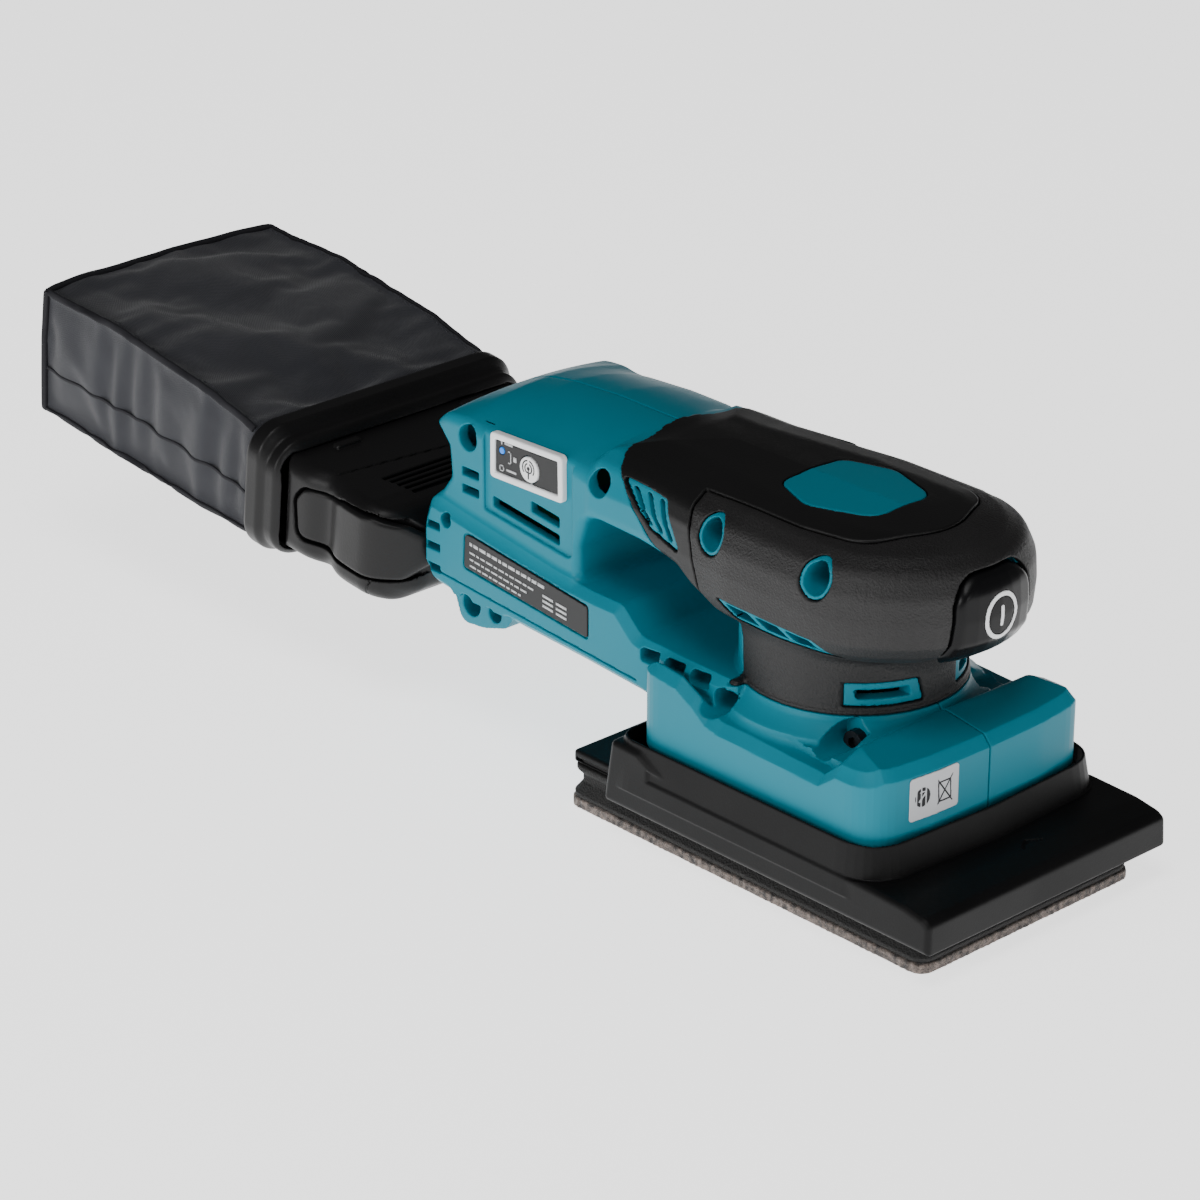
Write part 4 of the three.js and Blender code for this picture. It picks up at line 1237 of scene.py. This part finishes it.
def cellular_foam():
    made, tree, shader = material("foam_rubber", (0.008, 0.008, 0.008), 0.85)
    cells = add_node(tree, "ShaderNodeTexVoronoi", Scale=1800.0)
    coords = add_node(tree, "ShaderNodeTexCoord")
    tree.links.new(coords.outputs["Object"], cells.inputs["Vector"])
    mix_colour(tree, shader, cells.outputs["Distance"], (0.003, 0.003, 0.003), (0.016, 0.0155, 0.015))
    bump(tree, shader, cells.outputs["Distance"], 0.0003, 0.8)
    return made


def woven_cloth():
    """Charcoal twill: fine diagonal ribs, a crossing thread and broad wear."""
    made, tree, shader = material("bag_twill", (0.03, 0.031, 0.038), 0.8)
    coords = add_node(tree, "ShaderNodeTexCoord")
    heights = []
    for turn in (0.0, 0.9):
        mapping = add_node(tree, "ShaderNodeMapping")
        mapping.inputs["Rotation"].default_value = (0.6 + turn, 0.5, 0.78 + turn)
        tree.links.new(coords.outputs["Object"], mapping.inputs["Vector"])
        wave = add_node(tree, "ShaderNodeTexWave", Scale=900.0 if turn == 0 else 1250.0, Distortion=1.2,
            Detail=1.0)
        tree.links.new(mapping.outputs["Vector"], wave.inputs["Vector"])
        heights.append(wave.outputs["Fac"])
    weave = add_node(tree, "ShaderNodeMath", operation="MULTIPLY_ADD")
    weave.inputs[1].default_value = 0.4
    tree.links.new(heights[1], weave.inputs[0])
    tree.links.new(heights[0], weave.inputs[2])
    broad = noise(tree, 60, 4.0, 0.6)
    total = add_node(tree, "ShaderNodeMath", operation="MULTIPLY")
    tree.links.new(remap(tree, weave.outputs[0], 0, 1.4, 0.35, 1.0), total.inputs[0])
    tree.links.new(remap(tree, broad, 0.3, 0.7, 0.75, 1.0), total.inputs[1])
    mix_colour(tree, shader, total.outputs[0], (0.009, 0.0095, 0.0125), (0.024, 0.0255, 0.033))
    bump(tree, shader, weave.outputs[0], 0.0001, 0.6)
    shader.inputs["Sheen Weight"].default_value = 0.25
    shader.inputs["Sheen Roughness"].default_value = 0.5
    shader.inputs["Specular IOR Level"].default_value = 0.3
    return made


def metal(name, colour, rough, turned=1.0):
    made, tree, shader = material(name, colour, rough, 1.0)
    streaks = noise(tree, 900, 2.0, 0.6, (1, 1, 6 * turned))
    tree.links.new(remap(tree, streaks, 0.3, 0.7, rough - 0.07, rough + 0.1), shader.inputs["Roughness"])
    mix_colour(tree, shader, streaks, tuple(c * 0.8 for c in colour), colour)
    bump(tree, shader, streaks, 0.00002, 0.4)
    return made


TEAL = moulded_plastic("teal_plastic", (0.0, 0.185, 0.255), 0.42, shine=0.2)
SOFT = moulded_plastic("soft_grip_rubber", (0.0085, 0.0080, 0.0082), 0.54, 0.0007, 1500, 0.2, shine=0.42)
SMOOTH = moulded_plastic("smooth_black_rubber", (0.0035, 0.0034, 0.0036), 0.46, 0.0001, 1700, 0.1)
SATIN = moulded_plastic("satin_black_plastic", (0.0040, 0.0039, 0.0041), 0.46, 0.00006, 1900, 0.12,
    shine=0.16)
BOX_BLACK = moulded_plastic("box_black_plastic", (0.0055, 0.0053, 0.0056), 0.40, 0.00008, 1800, 0.12,
    shine=0.25)
PIANO = moulded_plastic("gloss_black_plastic", (0.004, 0.004, 0.0045), 0.26, 0.00001, 3000, 0.05, shine=0.16)
WHITE = moulded_plastic("white_plastic", (0.86, 0.87, 0.88), 0.35, 0.00001, 2600, 0.02)
PRINT = moulded_plastic("pale_print", (0.55, 0.56, 0.57), 0.5, 0.00001, 2600, 0.05)
INK = moulded_plastic("dark_print", (0.012, 0.012, 0.014), 0.5, 0.00001, 2600, 0.05)
LABEL_DARK = moulded_plastic("label_film", (0.0075, 0.0078, 0.0085), 0.34, 0.00001, 2600, 0.1)
LABEL_GREY = moulded_plastic("label_silver_film", (0.52, 0.53, 0.55), 0.34, 0.00001, 2600, 0.04)
BLUE = moulded_plastic("blue_lens", (0.01, 0.22, 0.9), 0.15, 0.00001, 2600, 0.05)
BLUE.node_tree.nodes["Principled BSDF"].inputs["Emission Color"].default_value = (0.02, 0.35, 1.0, 1)
BLUE.node_tree.nodes["Principled BSDF"].inputs["Emission Strength"].default_value = 0.2
FELT = speckled_felt()
FOAM = cellular_foam()
CLOTH = woven_cloth()
TRIM = moulded_plastic("bag_binding", (0.010, 0.010, 0.013), 0.75, 0.0001, 1800, 0.2)
THREAD = moulded_plastic("bag_thread", (0.05, 0.051, 0.060), 0.7, 0.00005, 3000, 0.2)
RUBBER = moulded_plastic("moulded_rubber", (0.010, 0.010, 0.011), 0.7, 0.00006, 1500, 0.15)
BOARD = moulded_plastic("coated_board", (0.01, 0.11, 0.05), 0.35, 0.00004, 900, 0.25)
STEEL = metal("turned_steel", (0.56, 0.57, 0.58), 0.28)
ZINC = metal("cast_zinc", (0.42, 0.42, 0.44), 0.45, 0.2)
COPPER = metal("wound_core", (0.45, 0.24, 0.11), 0.42)
OXIDE = metal("black_oxide", (0.06, 0.06, 0.065), 0.42)


def dress(piece, made, body="sander", slot=None, *nodes):
    piece.data.materials.clear()
    piece.data.materials.append(made)
    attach(piece, body)
    if nodes:
        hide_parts(*nodes)
    return piece


# ---- Camera, floor and light ----

CAMERA_AZIMUTH = -42.695
CAMERA_ELEVATION = 24.299
CAMERA_DISTANCE = 1.175564
SENSOR_WIDTH = 36


def add_camera():
    azimuth = math.radians(CAMERA_AZIMUTH)
    elevation = math.radians(CAMERA_ELEVATION)
    right = np.array([math.cos(azimuth), math.sin(azimuth), 0])
    back = np.array([math.sin(azimuth) * math.cos(elevation), -math.cos(azimuth) * math.cos(elevation),
                     math.sin(elevation)])
    up = np.cross(back, right)
    place = np.array([0, 0.060, 0.045]) + right * -0.0250017 + up * 0.0049123 + back * CAMERA_DISTANCE
    data = bpy.data.cameras.new("camera")
    data.lens = SENSOR_WIDTH * 4300 / 1200
    data.sensor_width = SENSOR_WIDTH
    camera = bpy.data.objects.new("camera", data)
    turn = Matrix((right, up, back)).transposed().to_4x4()
    camera.matrix_world = Matrix.Translation(place) @ turn
    bpy.context.scene.collection.objects.link(camera)
    bpy.context.scene.camera = camera


def add_stage():
    mesh = bpy.data.meshes.new("floor")
    mesh.from_pydata([(-4, -4, 0), (4, -4, 0), (4, 4, 0), (-4, 4, 0)], [], [(0, 1, 2, 3)])
    floor = bpy.data.objects.new("floor", mesh)
    floor.location.z = -0.0002
    bpy.context.scene.collection.objects.link(floor)
    made, _, shader = material("floor_paint", (0.92, 0.92, 0.92), 0.8)
    shader.inputs["Emission Color"].default_value = (1, 1, 1, 1)
    shader.inputs["Emission Strength"].default_value = 1.7
    mesh.materials.append(made)


def area_light(name, place, target, size, power):
    data = bpy.data.lights.new(name, "AREA")
    data.shape = "RECTANGLE"
    data.size = size[0]
    data.size_y = size[1]
    data.energy = power
    light = bpy.data.objects.new(name, data)
    light.location = place
    light.rotation_euler = (Vector(target) - Vector(place)).to_track_quat("-Z", "Y").to_euler()
    bpy.context.scene.collection.objects.link(light)


def add_lights():
    world = bpy.data.worlds.new("studio")
    world.use_nodes = True
    world.node_tree.nodes["Background"].inputs["Color"].default_value = (1, 1, 1, 1)
    world.node_tree.nodes["Background"].inputs["Strength"].default_value = 0.10
    bpy.context.scene.world = world
    area_light("key", (-1.4, 0.1, 0.55), (0, 0.05, 0.05), (0.8, 0.5), 9.5)
    area_light("front", (-0.2, -1.4, 0.4), (0, 0.05, 0.05), (0.5, 0.35), 3.0)
    area_light("top", (-0.5, -0.3, 1.5), (0, 0.05, 0.05), (0.7, 0.7), 8)


def coat(made, *names):
    """Gives CAD nodes a better material in their own slots."""
    for name in names:
        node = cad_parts[name]
        for slot in node.material_slots:
            slot.material = made


def dress_cad():
    coat(STEEL, "pad_bearing_outer", "pad_bearing_inner", "motor_shaft", "lower_bearing", "upper_bearing",
        "bag_wire")
    coat(ZINC, "eccentric")
    coat(COPPER, "stator")
    coat(OXIDE, "rotor", *[f"housing_screw_{i}" for i in range(1, 9)])
    coat(BOARD, "controller_board")
    coat(SATIN, "fan", "switch_module", "power_inlet")
    coat(RUBBER, "duct_seal", *[f"support_post_{i}" for i in range(1, 5)])


def dress_all():
    left, right = build_clamshells()
    dress(left, TEAL, "sander", "teal_plastic", "housing_left")
    dress(right, TEAL, "sander", "teal_plastic", "housing_right")
    soft, smooth = build_grips()
    dress(soft, SOFT, "sander", "soft_grip", "grip_left", "grip_right")
    dress(smooth, SMOOTH, "sander", "black_plastic", "top_grip_panel")
    shroud, plate, foam, felt = build_pad()
    dress(shroud, SATIN, "pad", "black_plastic", "pad_shroud")
    dress(plate, SATIN, "pad", "black_plastic", "base_plate")
    dress(foam, FOAM, "pad", "foam", "foam_pad")
    dress(felt, FELT, "pad", "felt", "hook_felt")
    head, lever_left, lever_right, rim = build_dust_box()
    dress(head, BOX_BLACK, "dust_box", "black_plastic", "box_head")
    dress(rim, BOX_BLACK, "dust_box", "black_plastic", "box_frame")
    for name, side in (("left", -1), ("right", 1)):
        dress(hinge_pin(f"hinge_pin_{name}", side), STEEL, "dust_box", "steel", f"latch_pin_{name}")
    dress(lever_left, BOX_BLACK, "left_lever", "black_plastic", "latch_left")
    dress(lever_right, BOX_BLACK, "right_lever", "black_plastic", "latch_right")
    parts = build_details()
    looks = [
        ("button", PIANO, "button", "gloss_black", "power_button"),
        ("button_mark", WHITE, "button", "white_plastic"),
        ("badge", TEAL, "sander", "teal_plastic", "top_badge"),
        ("bezel", WHITE, "sander", "white_plastic", "control_bezel"),
        ("face", LABEL_DARK, "sander", "label_dark", "control_face"),
        ("icon", WHITE, "wireless", "white_plastic", "wireless_button"),
        ("icon_marks", INK, "wireless", "label_dark"),
        ("light", BLUE, "sander", "led", "status_led"),
        ("sticker", LABEL_GREY, "sander", "label_grey", "front_label"),
        ("sticker_marks", INK, "sander", "label_dark"),
        ("label", LABEL_DARK, "sander", "label_dark", "rating_label"),
        ("label_marks", PRINT, "sander", "white_plastic"),
        ("panel_marks", PRINT, "sander", "white_plastic")]
    for key, made, body, slot, *nodes in looks:
        dress(parts[key], made, body, slot, *nodes)
    bag = build_bag()
    dress(bag, CLOTH, "dust_box", "bag_cloth", "dust_bag")
    trims, threads = bag_trim(bag)
    for made, strips in ((TRIM, trims), (THREAD, threads)):
        for strip in strips:
            dress(strip, made, "dust_box", "bag_cloth")
    dress_cad()


add_camera()
add_stage()
add_lights()
dress_all()
